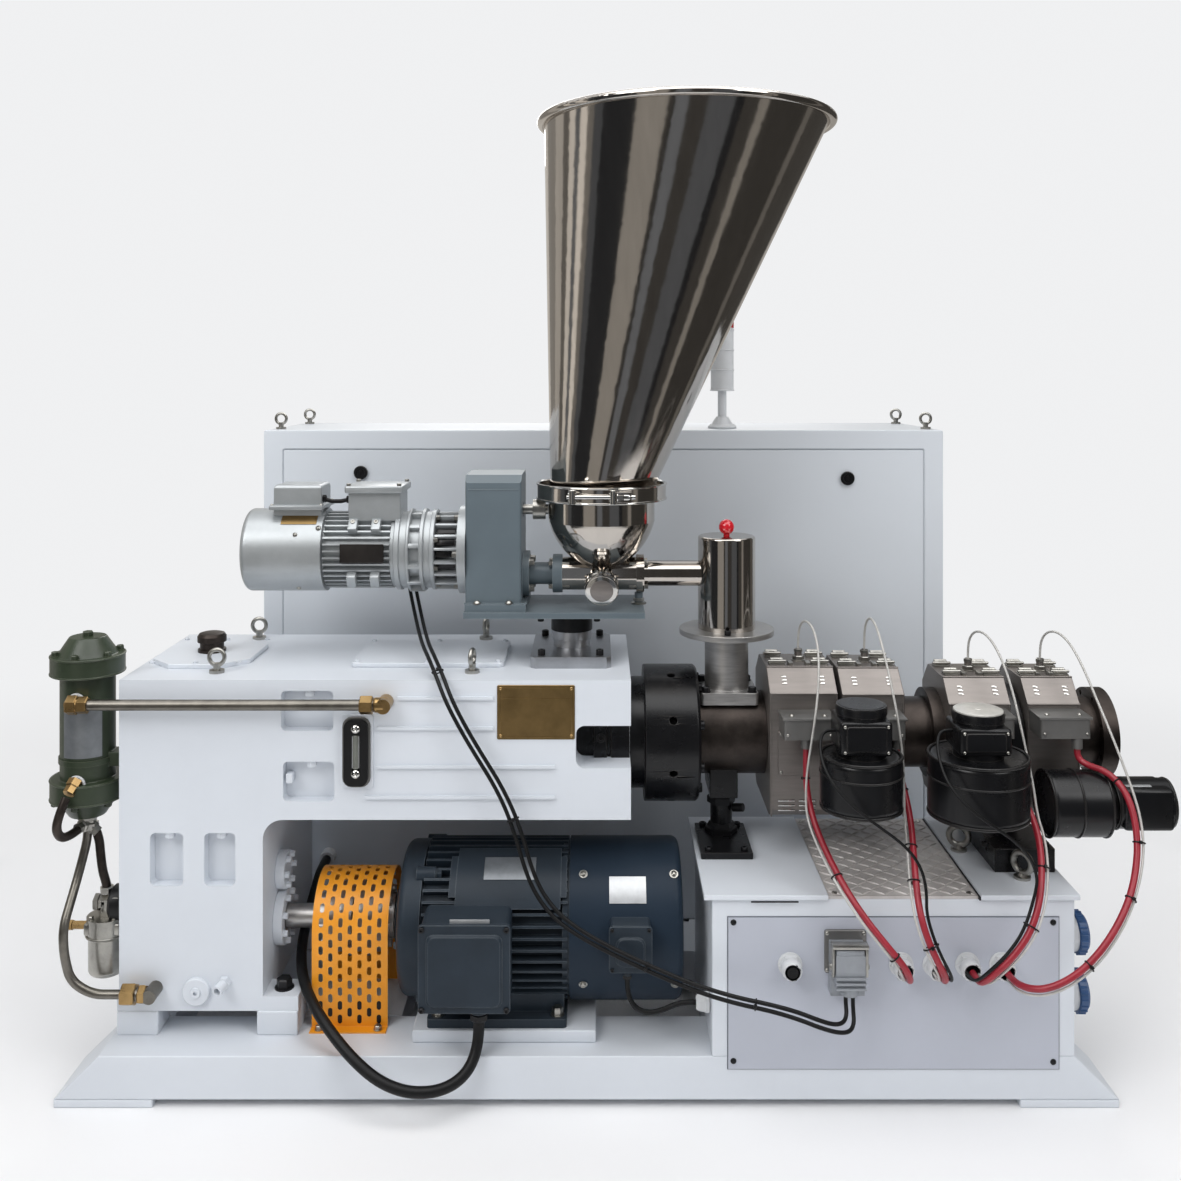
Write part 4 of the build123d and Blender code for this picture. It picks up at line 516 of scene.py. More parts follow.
UNDER_CABLE_4 = [
    (1047, -447, 566), (1044, -468, 522), (1030, -492, 480), (1003, -521, 433), (968, -549, 393),
    (927, -571, 354.5), (884, -585, 321.7), (842, -588, 297), (807, -582, 282),
]
SIDE_BY_SIDE = 12
LEAD_STEP = 3


def beside(route, first, dx=0, dz=0):
    """The rest of a route from one of its points on, moved aside."""
    return [(x + dx, y, z + dz) for x, y, z in route[first:]]


LEAD_TAILS = [
    beside(HEATER_ROUTES[0], 3, dx=-SIDE_BY_SIDE),
    beside(HEATER_ROUTES[1], 3, dx=-SIDE_BY_SIDE),
    beside(HEATER_ROUTES[2], 5, dx=SIDE_BY_SIDE, dz=-LEAD_STEP),
    UNDER_CABLE_4 + beside(HEATER_ROUTES[3], 17, dz=-SIDE_BY_SIDE),
]
BLOWER_ROUTES = [
    [(445, -445, 738), (430, -445, 738), (417, -453, 735), (408, -470, 725), (404, -492, 706),
     (409, -515, 682), (424, -533, 655), (450, -545, 627), (482, -548, 602), (514, -545, 578),
     (546, -540, 554), (574, -538, 526), (591, -541, 494), (596, -547, 458)]
    + beside(HEATER_ROUTES[1], 6, dx=SIDE_BY_SIDE),
    [(677, -445, 738), (662, -445, 738), (648, -453, 735), (638, -471, 726), (632, -495, 709),
     (632, -520, 686), (641, -543, 659), (664, -559, 631), (698, -564, 604), (734, -561, 580),
     (768, -553, 554), (794, -546, 524), (807, -543, 490), (806, -543, 464)]
    + beside(HEATER_ROUTES[2], 9, dx=-SIDE_BY_SIDE, dz=LEAD_STEP),
]
MOTOR_ROUTE = [
    (-262, -462, 190), (-262, -462, 152), (-266, -474, 118), (-279, -494, 92), (-306, -512, 74),
    (-346, -524, 66), (-398, -526, 68), (-452, -517, 84), (-506, -494, 114), (-558, -457, 148),
    (-606, -406, 178), (-642, -338, 199), (-664, -252, 210), (-678, -158, 218), (-685, -66, 234),
    (-688, 12, 256), (-688, 58, 262), (-688, 95, 262),
]
FAN_ROUTE = [
    (30, -438, 250), (30, -438, 230), (33, -440, 206), (45, -442, 186), (66, -441, 175),
    (94, -434, 174), (128, -423, 183), (148, -420, 185), (168, -420, 185),
]
OVER_THE_GEARBOX = [
    (-491, -109, 1167), (-491, -94, 1167), (-491, -80, 1162), (-490.5, -69, 1150), (-489.5, -62, 1133),
    (-487, -56, 1108), (-483, -53, 1074), (-477, -56, 1034), (-467, -69, 992), (-454, -98, 948),
    (-437, -146, 910), (-420, -204, 884), (-402, -268, 867), (-381, -332, 856), (-358, -392, 836),
    (-333, -424, 788), (-303, -426, 732), (-272, -428, 681), (-239, -429, 629), (-212, -430, 576),
]
DOWN_THE_FRONT = [
    [(-192, -432, 520), (-176, -434, 464), (-154, -440, 412), (-118, -452, 370), (-70, -464, 340)],
    [(-178, -432, 522), (-163, -434, 468), (-143, -440, 420), (-110, -452, 380), (-65, -464, 351)],
]
TO_THE_BOX = [
    (-14, -474, 316), (48, -486, 292), (112, -500, 270), (176, -516, 253), (240, -532, 242),
    (302, -546, 236),
]
INTO_THE_PLUG = [
    [(354, -556, 223), (395, -559, 208), (430, -553, 196), (453, -540, 192), (463, -524.5, 200),
     (464, -512.5, 215), (464, -508, 230), (464, -508, 248)],
    [(352, -554, 236), (391, -555, 221), (421, -548, 209), (441, -535, 206), (449.5, -520.5, 214),
     (450, -511, 227), (450, -508, 238), (450, -508, 248)],
]
FEEDER_ROUTES = [
    OVER_THE_GEARBOX + DOWN_THE_FRONT[0] + beside(TO_THE_BOX, 0, dz=-2) + INTO_THE_PLUG[0],
    beside(OVER_THE_GEARBOX, 0, dx=14) + DOWN_THE_FRONT[1] + beside(TO_THE_BOX, 0, dz=10) + INTO_THE_PLUG[1],
]

CURVE_STEPS, PIPE_FINENESS, CABLE_FINENESS = 6, 4, 5


def bent_tube(name, points, r, mat, fineness=PIPE_FINENESS):
    """A round bar along a smooth spline."""
    curve = bpy.data.curves.new(name, "CURVE")
    curve.dimensions = "3D"
    curve.bevel_depth = r * MM
    curve.bevel_resolution = fineness
    curve.resolution_u = CURVE_STEPS
    curve.use_fill_caps = True
    spline = curve.splines.new("NURBS")
    spline.points.add(len(points) - 1)
    for point, place in zip(spline.points, points):
        point.co = (*[c * MM for c in place], 1)
    spline.order_u = 3
    spline.use_endpoint_u = True
    curve.materials.append(mat)
    obj = show(name, curve)
    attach(obj, "machine")
    return obj


def cable(name, points, r, mat):
    """A free cable on its CAD route, in the tube's place."""
    run = bent_tube(name + "_run", points, r, mat, CABLE_FINENESS)
    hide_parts(name)
    return run


def cables(name, routes, r, mat):
    """Numbered cables of one kind."""
    return [cable(f"{name}_{i + 1}", route, r, mat) for i, route in enumerate(routes)]


def centre_line(run):
    """The spline's own points, in millimetres, read from a copy without thickness."""
    bare = run.copy()
    bare.data = run.data.copy()
    bare.data.bevel_depth = 0
    bpy.context.scene.collection.objects.link(bare)
    bpy.context.view_layer.update()
    mesh = bpy.data.meshes.new_from_object(bare.evaluated_get(bpy.context.evaluated_depsgraph_get()))
    line = [v.co / MM for v in mesh.vertices]
    bpy.data.objects.remove(bare)
    bpy.data.meshes.remove(mesh)
    return line


TIE_REACH, TIE_THICK, TIE_SLACK = 17, 1.5, 1.0
TIE_HEAD = Vector((3, 3, 3))


def ties(name, run, r, others, axis, places):
    """Black ties round a cable and the leads beside it, where it crosses given heights or stations."""
    line = centre_line(run)
    beside_lines = [(centre_line(o), o.data.bevel_depth / MM) for o in others]
    bm = bmesh.new()
    for place in places:
        k = min(range(2, len(line) - 2), key=lambda n: abs(line[n][axis] - place))
        here, along = line[k], (line[k + 1] - line[k - 1]).normalized()
        held = [(here, r)]
        for points, size in beside_lines:
            near = min(points, key=lambda q: (q - here).length)
            if (near - here).length < TIE_REACH:
                held.append((near, size))
        reach = max(held, key=lambda h: (h[0] - here).length)[0] - here
        reach = reach - along * reach.dot(along)
        across = reach.normalized() if reach.length > 1 else along.orthogonal().normalized()
        spans = [pair((h - here).dot(across), size) for h, size in held]
        low, high = min(a for a, _ in spans), max(b for _, b in spans)
        middle = here + across * ((low + high) / 2)
        turn = Matrix((across, along.cross(across), along)).transposed()
        tall = r + TIE_SLACK
        oval = ((high - low) / 2 + TIE_SLACK) / tall
        torus(bm, middle, along, tall, TIE_THICK, 30, 8, stretch=oval, turn=turn)
        head = middle + along.cross(across) * (tall + 1)
        box(bm, head - TIE_HEAD, head + TIE_HEAD, 1, turn=turn)
    return piece(name, bm, BLACK_PLASTIC)


HEATER_R, LEAD_R, BLOWER_R, MOTOR_CABLE_R, FAN_R, FEEDER_R = 6.5, 2.5, 3, 11, 5, 4
TIE_HEIGHTS = [[606, 470, 350], [592, 508, 466, 365], [580, 488, 401], [622, 521, 440, 338]]
TIE_STATIONS = [-362, -205, 60, 273]
HEIGHT, STATION = 2, 0

lead_points = [route + tail for route, tail in zip(THERMOCOUPLE_ROUTES, LEAD_TAILS)]
red_runs = cables("heater_cable", HEATER_ROUTES, HEATER_R, RED_CABLE)
lead_runs = cables("thermocouple_lead", lead_points, LEAD_R, LEAD_SLEEVE)
blower_runs = cables("blower_lead", BLOWER_ROUTES, BLOWER_R, RUBBER)
feeder_runs = cables("feeder_cable", FEEDER_ROUTES, FEEDER_R, RUBBER)
for i, run in enumerate(red_runs):
    held = ties(f"heater_cable_{i + 1}_ties", run, HEATER_R, lead_runs + blower_runs, HEIGHT, TIE_HEIGHTS[i])
held = ties("feeder_cable_ties", feeder_runs[0], FEEDER_R, feeder_runs[1:], STATION, TIE_STATIONS)
motor_run = cable("motor_cable", MOTOR_ROUTE, MOTOR_CABLE_R, RUBBER)
fan_run = cable("fan_cable", FAN_ROUTE, FAN_R, RUBBER)


# CAD nodes: eased edges and their materials

for name, mat, *ease in [
    ("base_front_rail", WHITE, 3), ("mounting_pads", WHITE, 3), ("cable_box", WHITE, 3),
    ("gearbox_covers", WHITE, 2), ("box_top_plates", WHITE, 1.2), ("cabinet_body", CABINET, 4, 3),
    ("cabinet_front_panel", CABINET, 1.5), ("feeder_pedestal", ALU, 1.5), ("barrel_supports", BLACK, 2),
    ("heater_housings", SHEET, 1.6), ("feeder_terminal_boxes", SILVER, 2), ("barrel_flange", BLACK, 2),
    ("feed_throat", SATIN, 1.2), ("hopper_clamp_ring", MIRROR, 1.0), ("oil_cooler", GREEN, 2),
    ("cable_glands", LIGHT_PLASTIC, 1.5), ("side_sockets", BLUE, 2),
]:
    soften(name, mat, *ease)
for name, mat in [
    ("gearbox_housing", WHITE), ("box_front_panel", PANEL_GREY), ("coupling_guard", ORANGE),
    ("motor_frame", MOTOR_BLUE), ("motor_fan_cowl", COWL_BLUE), ("drive_coupling", SATIN), ("barrel", OXIDE),
    ("blowers", BLACK), ("feed_cylinder", MIRROR), ("feed_screw_tube", MIRROR), ("hopper_bowl", MIRROR),
    ("hopper_cone", MIRROR), ("stirrer_shaft", ZINC), ("ball_knob", RED), ("lifting_eyes", ZINC),
    ("oil_pipes", PIPE), ("pipe_fittings", BRASS), ("feeder_motor", SILVER), ("feeder_reducer", SILVER),
    ("signal_lamp", LIGHT_PLASTIC), ("checker_plate", TREAD), ("base_rear_frame", WHITE),
    ("feeder_gearbox", FEED_GREY), ("feeder_plate", FEED_GREY), ("heater_terminal_boxes", SHEET_DARK),
    ("motor_terminal_boxes", MOTOR_BLUE), ("oil_filter", ZINC), ("cable_connector", GREY_PLASTIC),
    ("oil_level_gauge", BLACK_PLASTIC),
]:
    dress(name, mat)

# the return's elbow, low on the gearbox, is plain steel
LOW_FITTINGS = 0.3
fittings = NODES["pipe_fittings"].data
fittings.materials.append(PIPE)
for face in fittings.polygons:
    if face.center.z < LOW_FITTINGS:
        face.material_index = 1


# Gearbox

def gearbox_fittings():
    """Bolts, plugs, nameplate and level gauge on the gear casting."""
    cover_top = GEAR_TOP + 10
    bm = bmesh.new()
    # studs under the pockets' tops, painted over
    for x, top in [(-902, 511), (-796, 511), (-612, 656), (-616, 800)]:
        hex_bolt(bm, (x, GEAR_FACE + 13, top), DOWN, 18, 12)
    box(bm, (-664, GEAR_FACE + 4, 610), (-650, GEAR_FACE + 26, 630), 2)
    # drain cover and vent nozzle
    lathe(bm, (-843, GEAR_FACE, 191), FRONT,
          [(0, 28), (7, 28), (9, 26), (9, 11), (13, 10), (13, 4), (8, 4)], 40)
    lathe(bm, (-786, GEAR_FACE, 209), FRONT, [(0, 13), (12, 13), (13, 11)], 6)
    tube(bm, (-786, GEAR_FACE - 12, 209), (-0.30, -1, -0.18), 22, 10.5, 7)
    # bolts of the bearing caps on the leg's inner face
    for z, r, count in [(DRIVE_Z, 48, 8), (DRIVE_Z + 99, 31, 6)]:
        for dy, dz in bolt_circle(count, r):
            hex_bolt(bm, (LEG_FACE + 20, DRIVE_Y + dy, z + dz), RIGHT, 12, 9)
    # backing plate of the gauge
    panel(bm, (-516, GEAR_FACE, 678), FRONT, 64, 150, 4, 6)
    # low cap screws round the inspection cover and the top plate
    grid(bm, cap_screw, (-972, -880, -788), pair(AXIS_Y, 110), [cover_top], UP, 6, 4)
    grid(bm, cap_screw, (-540, -390, -240), pair(AXIS_Y, 98), [cover_top], UP, 6, 4)
    piece("gearbox_painted_bolts", bm, WHITE)

    # bare nameplate with a raised border and one line
    bm = bmesh.new()
    panel(bm, (-154, GEAR_FACE, 757), FRONT, 158, 110, 2, 3, 0.6)
    for x0, z0, x1, z1 in [(-228, 706, -80, 708), (-228, 806, -80, 808), (-228, 708, -226, 806),
                           (-82, 708, -80, 806), (-228, 784, -80, 785.5)]:
        box(bm, (x0, GEAR_FACE - 2.8, z0), (x1, GEAR_FACE - 1.8, z1), 0.3)
    piece("gearbox_nameplate", bm, BRASS_PLATE)
    single("nameplate_rivets", BRASS, "brass",
           grid, pan_screw, (-226, -82), [GEAR_FACE - 2], (709, 805), FRONT, 3.5, 2)

    bm = bmesh.new()
    for x, y in [(-674, -352), (-674, 2), (-968, 2)]:
        hex_bolt(bm, (x, y, 180), UP, 28, 18)
    piece("holding_down_bolts", bm, BLACK_OXIDE)
    single("breather_cap", OXIDE, "dark_steel", lathe, (-880, AXIS_Y, cover_top), UP,
           [(0, 30), (6, 30), (7, 26), (9, 25.5), (20, 25.5), (22, 31), (34, 31), (40, 27), (42, 20)], 40)

    # the black flange that shows in the window at the arm's end
    bm = bmesh.new()
    lathe(bm, (-72, AXIS_Y, AXIS_Z), RIGHT,
          [(0, 128), (2, 132), (34, 132), (36, 146), (62, 146), (64, 138), (70, 138), (72, 146),
           (110, 146)], 72)
    for dy, dz in bolt_circle(16, 1):
        out = Vector((0, dy, dz))
        cap_screw(bm, Vector((-22, AXIS_Y, AXIS_Z)) + out * 145, out, 9, 7)
    piece("outlet_flange", bm, BLACK)

    gauge_x = -517.5
    single("gauge_bezel", SHEET_DARK, "steel", panel, (gauge_x, GEAR_FACE, 678), FRONT, 57, 142, 9, 19)
    single("gauge_screws", CHROME, "steel",
           grid, pan_screw, [gauge_x], [GEAR_FACE - 16], (727, 636), FRONT, 9, 5)
    single("gauge_tube", GLASS, "steel", rod, (gauge_x, GEAR_FACE - 12, 646), UP, 68, 6.5, 20)
    single("gauge_scale", PALE_PLATE, "steel",
           box, (-526, GEAR_FACE - 14.6, 648), (-509, GEAR_FACE - 13.4, 712), 0)


def coupling_fittings():
    """Feet bolts of the coupling guard, and the slots low on its legs, drawn as flat black marks of painted
    shade.
    """
    middle, pitch, columns, reach = -538.0, 20.0, 7, 100.0
    slot_wide, slot_high, slot_corner = 9.0, 18.0, 4.4
    # painted shade: each slot is a flat black mark for the dark inside of the guard
    bm = bmesh.new()
    for column in range(columns):
        x = middle + pitch * (column - columns // 2)
        for z, side in product((133,) if column % 2 else (147, 119), (FRONT, BACK)):
            at = (x, DRIVE_Y + side[1] * reach, z)
            panel(bm, at, side, slot_wide, slot_high, 0.4, slot_corner, 0.1, side=(-side[1], 0, 0))
    piece("guard_slot_shade", bm, BLACK_OXIDE)
    single("guard_bolts", ZINC, "steel", grid, hex_bolt, (-598, -478), pair(DRIVE_Y, 112), [104.5], UP, 13, 8)


# Main motor

def motor_fittings():
    """Cast boss, plates, box lids and screws of the motor."""
    centre = (0, DRIVE_Y, DRIVE_Z)
    bm = bmesh.new()
    # curved boss on the upper front, and its longer, lower field
    curved_plate(bm, centre, RIGHT, UP, MOTOR_R - 14, (-318, -104), (14, 62), 18)
    curved_plate(bm, centre, RIGHT, UP, MOTOR_R - 14, (-332, -92), (22, 54), 16)
    # bolt bosses where the end shield meets the frame
    for angle in (35, 145, 215, 325):
        a = math.radians(angle)
        y, z = DRIVE_Y - 152 * math.sin(a), DRIVE_Z + 152 * math.cos(a)
        rod(bm, (-402, y, z), RIGHT, 40, 15)
        hex_bolt(bm, (-362, y, z), RIGHT, 16, 10)
    # lid of the main box, stepped, with chamfered field
    panel(bm, (-288.5, -485, 286.5), FRONT, 180, 172, 9, 8)
    panel(bm, (-288.5, -494, 284), FRONT, 148, 142, 6, 14, 4)
    # lid of the fan's box
    panel(bm, (36.5, -450, 306.5), FRONT, 86, 92, 6, 8)
    panel(bm, (36.5, -456, 302), FRONT, 58, 60, 5, 16, 3)
    piece("motor_boss_and_lids", bm, MOTOR_BLUE)

    bm = bmesh.new()
    grid(bm, cap_screw, (-371, -206), [-494], (208.5, 364.5), FRONT, 5.5, 5)
    grid(bm, cap_screw, (0, 73), [-456], (267, 346), FRONT, 3.5, 4)
    piece("motor_lid_screws", bm, BLACK_OXIDE)

    bm = bmesh.new()
    grid(bm, hex_bolt, (-352, -110), (-390, -130), [145], UP, 20, 14)
    for angle, x in [(37, -58), (118, -58), (37, 128), (118, 128), (-37, -58), (-118, -58)]:
        a = math.radians(angle)
        out = Vector((0, -math.sin(a), math.cos(a)))
        at = Vector((x, DRIVE_Y, DRIVE_Z)) + out * MOTOR_R
        lathe(bm, at, out, [(0, 9), (1.5, 9), (1.6, 6), (5, 5.6), (6, 4), (4, 2)], 18)
    piece("motor_bolts", bm, ZINC)

    single("motor_rating_plate", DULL_PLATE, "steel",
           curved_plate, centre, RIGHT, UP, MOTOR_R + 4.2, (-262, -156), (24, 42), 1.2)
    bm = bmesh.new()
    curved_plate(bm, centre, RIGHT, UP, MOTOR_R + 0.2, (-5, 70), (39, 58), 1.2)
    box(bm, (-318, -481, 369), (-240, -479, 378), 0.5)
    piece("motor_blank_plates", bm, PALE_PLATE)

    bm = bmesh.new()
    lathe(bm, (-262, -462, 186), DOWN, [(0, 19), (10, 19), (11, 17), (14, 15)], 6)
    lathe(bm, (30, -438, 249), DOWN, [(0, 10), (6, 10), (7, 8)], 6)
    piece("motor_gland_nuts", bm, BLACK_PLASTIC)


# Barrel line

def barrel_fittings():
    """Screws of the drive ring and of the barrel's supports, and the bolts of the feed throat."""
    bm = bmesh.new()
    for dy, dz in bolt_circle(8, 118):
        cap_screw(bm, (189, AXIS_Y + dy, AXIS_Z + dz), RIGHT, 10, 9)
    grid(bm, cap_screw, (206, 282), (-285, -145), [436], UP, 8, 7)
    grid(bm, cap_screw, (772, 896), (-345, -135), [470], UP, 8, 7)
    # nuts of the jack under the barrel, and its pin
    lathe(bm, (244, AXIS_Y, 436), UP, [(0, 36), (10, 36), (12, 31), (22, 27)], 6)
    lathe(bm, (244, AXIS_Y, 500), UP, [(0, 31), (14, 31), (16, 28)], 6)
    rod(bm, (268, AXIS_Y - 14, 492), (1, -0.6, 0.2), 26, 9)
    piece("support_screws", bm, BLACK_OXIDE)

    bm = bmesh.new()
    grid(bm, hex_bolt, pair(256, 50), pair(AXIS_Y, 50), [755], UP, 15, 10)
    grid(bm, cap_screw, [250], pair(AXIS_Y, 80), [884], UP, 7, 10)
    piece("throat_bolts", bm, BLACK_OXIDE)


# start and length of each jacket, half its depth, and its roof's and shoulder's rise over the axis
HEATERS = [(335, 144, 115, 157, 113), (488, 132, 115, 155, 111), (716, 132, 105, 135, 88),
           (883, 112, 105, 135, 88)]
HEATER_FLAT, HEATER_FOOT = 60, 509
PROBES_X = [414, 560, 789, 948]
TERMINAL_L, TERMINAL_DEEP, TERMINAL_TOP = 104, 66, 730


def heater_fittings():
    """Vents, lips, cover, clamps and terminal lids of the heater jackets."""
    vents, clamps, lips, lids, screws = (bmesh.new() for _ in range(5))
    for probe, (x0, length, half, rise, shoulder) in zip(PROBES_X, HEATERS):
        front, top = AXIS_Y - half, AXIS_Z + rise
        slope = Vector((0, half - HEATER_FLAT, rise - shoulder)).normalized()
        out = Vector((0, -(rise - shoulder), half - HEATER_FLAT)).normalized()
        turn = Matrix((RIGHT, slope, out)).transposed()
        middle = Vector((0, (front + AXIS_Y - HEATER_FLAT) / 2, AXIS_Z + (rise + shoulder) / 2))
        # pressed vents in two groups on the slope
        for share, k in product((0.24, 0.80), (-1, 0, 1)):
            at = middle + Vector((x0 + length * share, 0, 0)) + slope * (8.5 * k)
            box(vents, at - Vector((6, 2.2, 0.4)), at + Vector((6, 2.2, 1.6)), 1.2, turn=turn)
        # folded lips along the slope's two edges, and down the jacket's ends
        for y, z in [(front, AXIS_Z + shoulder), (AXIS_Y - HEATER_FLAT, top)]:
            rod(lips, (x0, y, z), RIGHT, length, 2.2, 12)
        for x in (x0 + 3, x0 + length - 3):
            rod(lips, (x, front, HEATER_FOOT), UP, AXIS_Z + shoulder - HEATER_FOOT, 1.8, 12)
        # toggle clamps, nuts and cleats across the top
        for x, y in product((x0 + 0.18 * length, x0 + 0.82 * length), pair(AXIS_Y, 38)):
            box(clamps, (x - 17, y - 13, top), (x + 17, y + 13, top + 4), 1)
            rod(clamps, (x - 20, y - 6, top + 8), RIGHT, 40, 3.2, 14)
            rod(clamps, (x - 14, y + 7, top + 9), RIGHT, 28, 4.5, 14)
            grid(clamps, hex_bolt, pair(x, 10), [y], [top + 4], UP, 9, 6)
        for x in (x0 + 0.38 * length, x0 + 0.64 * length):
            box(clamps, (x - 5, AXIS_Y - 52, top), (x + 5, AXIS_Y - 28, top + 7), 1.2)
        hex_bolt(clamps, (probe, AXIS_Y, top), UP, 22, 9)
        lathe(clamps, (probe, AXIS_Y, top + 19), UP, [(0, 9.5), (6, 9.5), (7, 7)], 6)
        # terminal box lids, overhanging, with their screws
        face, lid_top = front - TERMINAL_DEEP, TERMINAL_TOP + 5
        left, right = pair(x0 + length / 2, TERMINAL_L / 2 + 3)
        box(lids, (left, face - 3, TERMINAL_TOP), (right, front + 1, lid_top), 1.5)
        grid(screws, pan_screw, pair(x0 + length / 2, 34), [face + 16], [lid_top], UP, 5, 3.5)
        grid(screws, pan_screw, pair(x0 + length / 2, 44), [face], [700], FRONT, 3, 2)
    # cover plate and lower louvres on the first jacket's front
    front = AXIS_Y - HEATERS[0][2]
    panel(lips, (406.5, front, 644), FRONT, 109, 92, 6, 4)
    for z, x in product((521, 531, 541), (352, 396)):
        box(vents, (x, front - 2, z), (x + 36, front, z + 4), 1)
    grid(screws, pan_screw, (358, 455), [front - 6], (604, 684), FRONT, 3.5, 2.4)
    piece("heater_vents", vents, CHROME)
    piece("heater_clamps", clamps, ZINC)
    piece("heater_lips_and_cover", lips, SHEET)
    piece("terminal_lids", lids, SHEET_DARK)
    piece("heater_screws", screws, ZINC)


def blower_fittings():
    """Square heads, top discs, scroll bands and screws of the cooling blowers."""
    black, screws = bmesh.new(), bmesh.new()
    half, scroll_top = 51, 690
    for x, top, scroll, low in [(494, 791, 81, 586), (726, 778, 98, 572)]:
        front = BLOWER_Y - half
        box(black, (x - half, front, 700), (x + half, BLOWER_Y + half, top - 24), 7, 3)
        panel(black, (x, front, (scroll_top + top - 12) / 2), FRONT, 78, top - 742, 2.5, 5)
        lathe(black, (x, BLOWER_Y, top - 24), UP, [(0, 44), (6, 50.5), (18, 51), (23, 49)], 48)
        # rolled edges of the scroll, and the seam between them
        for z in (scroll_top - 1, low + 2):
            torus(black, (x, BLOWER_Y, z), UP, scroll - 2, 3.2, 60, 10)
        torus(black, (x, BLOWER_Y, (low + scroll_top) / 2 + 18), UP, scroll, 2.2, 60, 10)
        grid(screws, pan_screw, pair(x, 42), [front], (708, top - 33), FRONT, 3.5, 2.5)
    # side blower: inlet rings and motor end
    y, z = -355, 561
    for x, r in [(892, 66), (950, 66), (1008, 66), (1030, 50), (1140, 49)]:
        torus(black, (x, y, z), RIGHT, r, 2.6, 60, 10)
    box(black, (1034, y - 52, z - 40), (1136, y + 40, z + 44), 8, 3)
    piece("blower_heads", black, BLACK)
    grid(screws, pan_screw, [1136], (y - 36, y + 24), (z - 28, z + 32), RIGHT, 3.5, 2.5)
    piece("blower_screws", screws, ZINC)
    single("blower_pale_disc", DISC_WHITE, "steel",
           lathe, (726, BLOWER_Y, 777), UP, [(0, 48), (2.5, 48), (3.5, 46), (3.6, 9), (4.6, 8)], 48)
    single("side_blower_blank_plate", PALE_PLATE, "steel",
           panel, (1072, y - 20, z + 44), UP, 52, 24, 1, 2, 0.3)


# Feeder and hopper

def around(x, r, angle):
    """A place at an angle about the feeder motor's axis, and the way out of there."""
    a = math.radians(angle)
    out = Vector((0, -math.sin(a), math.cos(a)))
    return Vector((x, AXIS_Y, FEED_Z)) + out * r, out


def bar(bm, x, r, angle, long, wide, sunk, proud, edge):
    """A block on the feeder motor's round: half its length and width, its depth in and out."""
    at, out = around(x, r, angle)
    turn = Matrix((RIGHT, out.cross(Vector(RIGHT)), out)).transposed()
    box(bm, at - Vector((long, wide, sunk)), at + Vector((long, wide, proud)), edge, turn=turn)


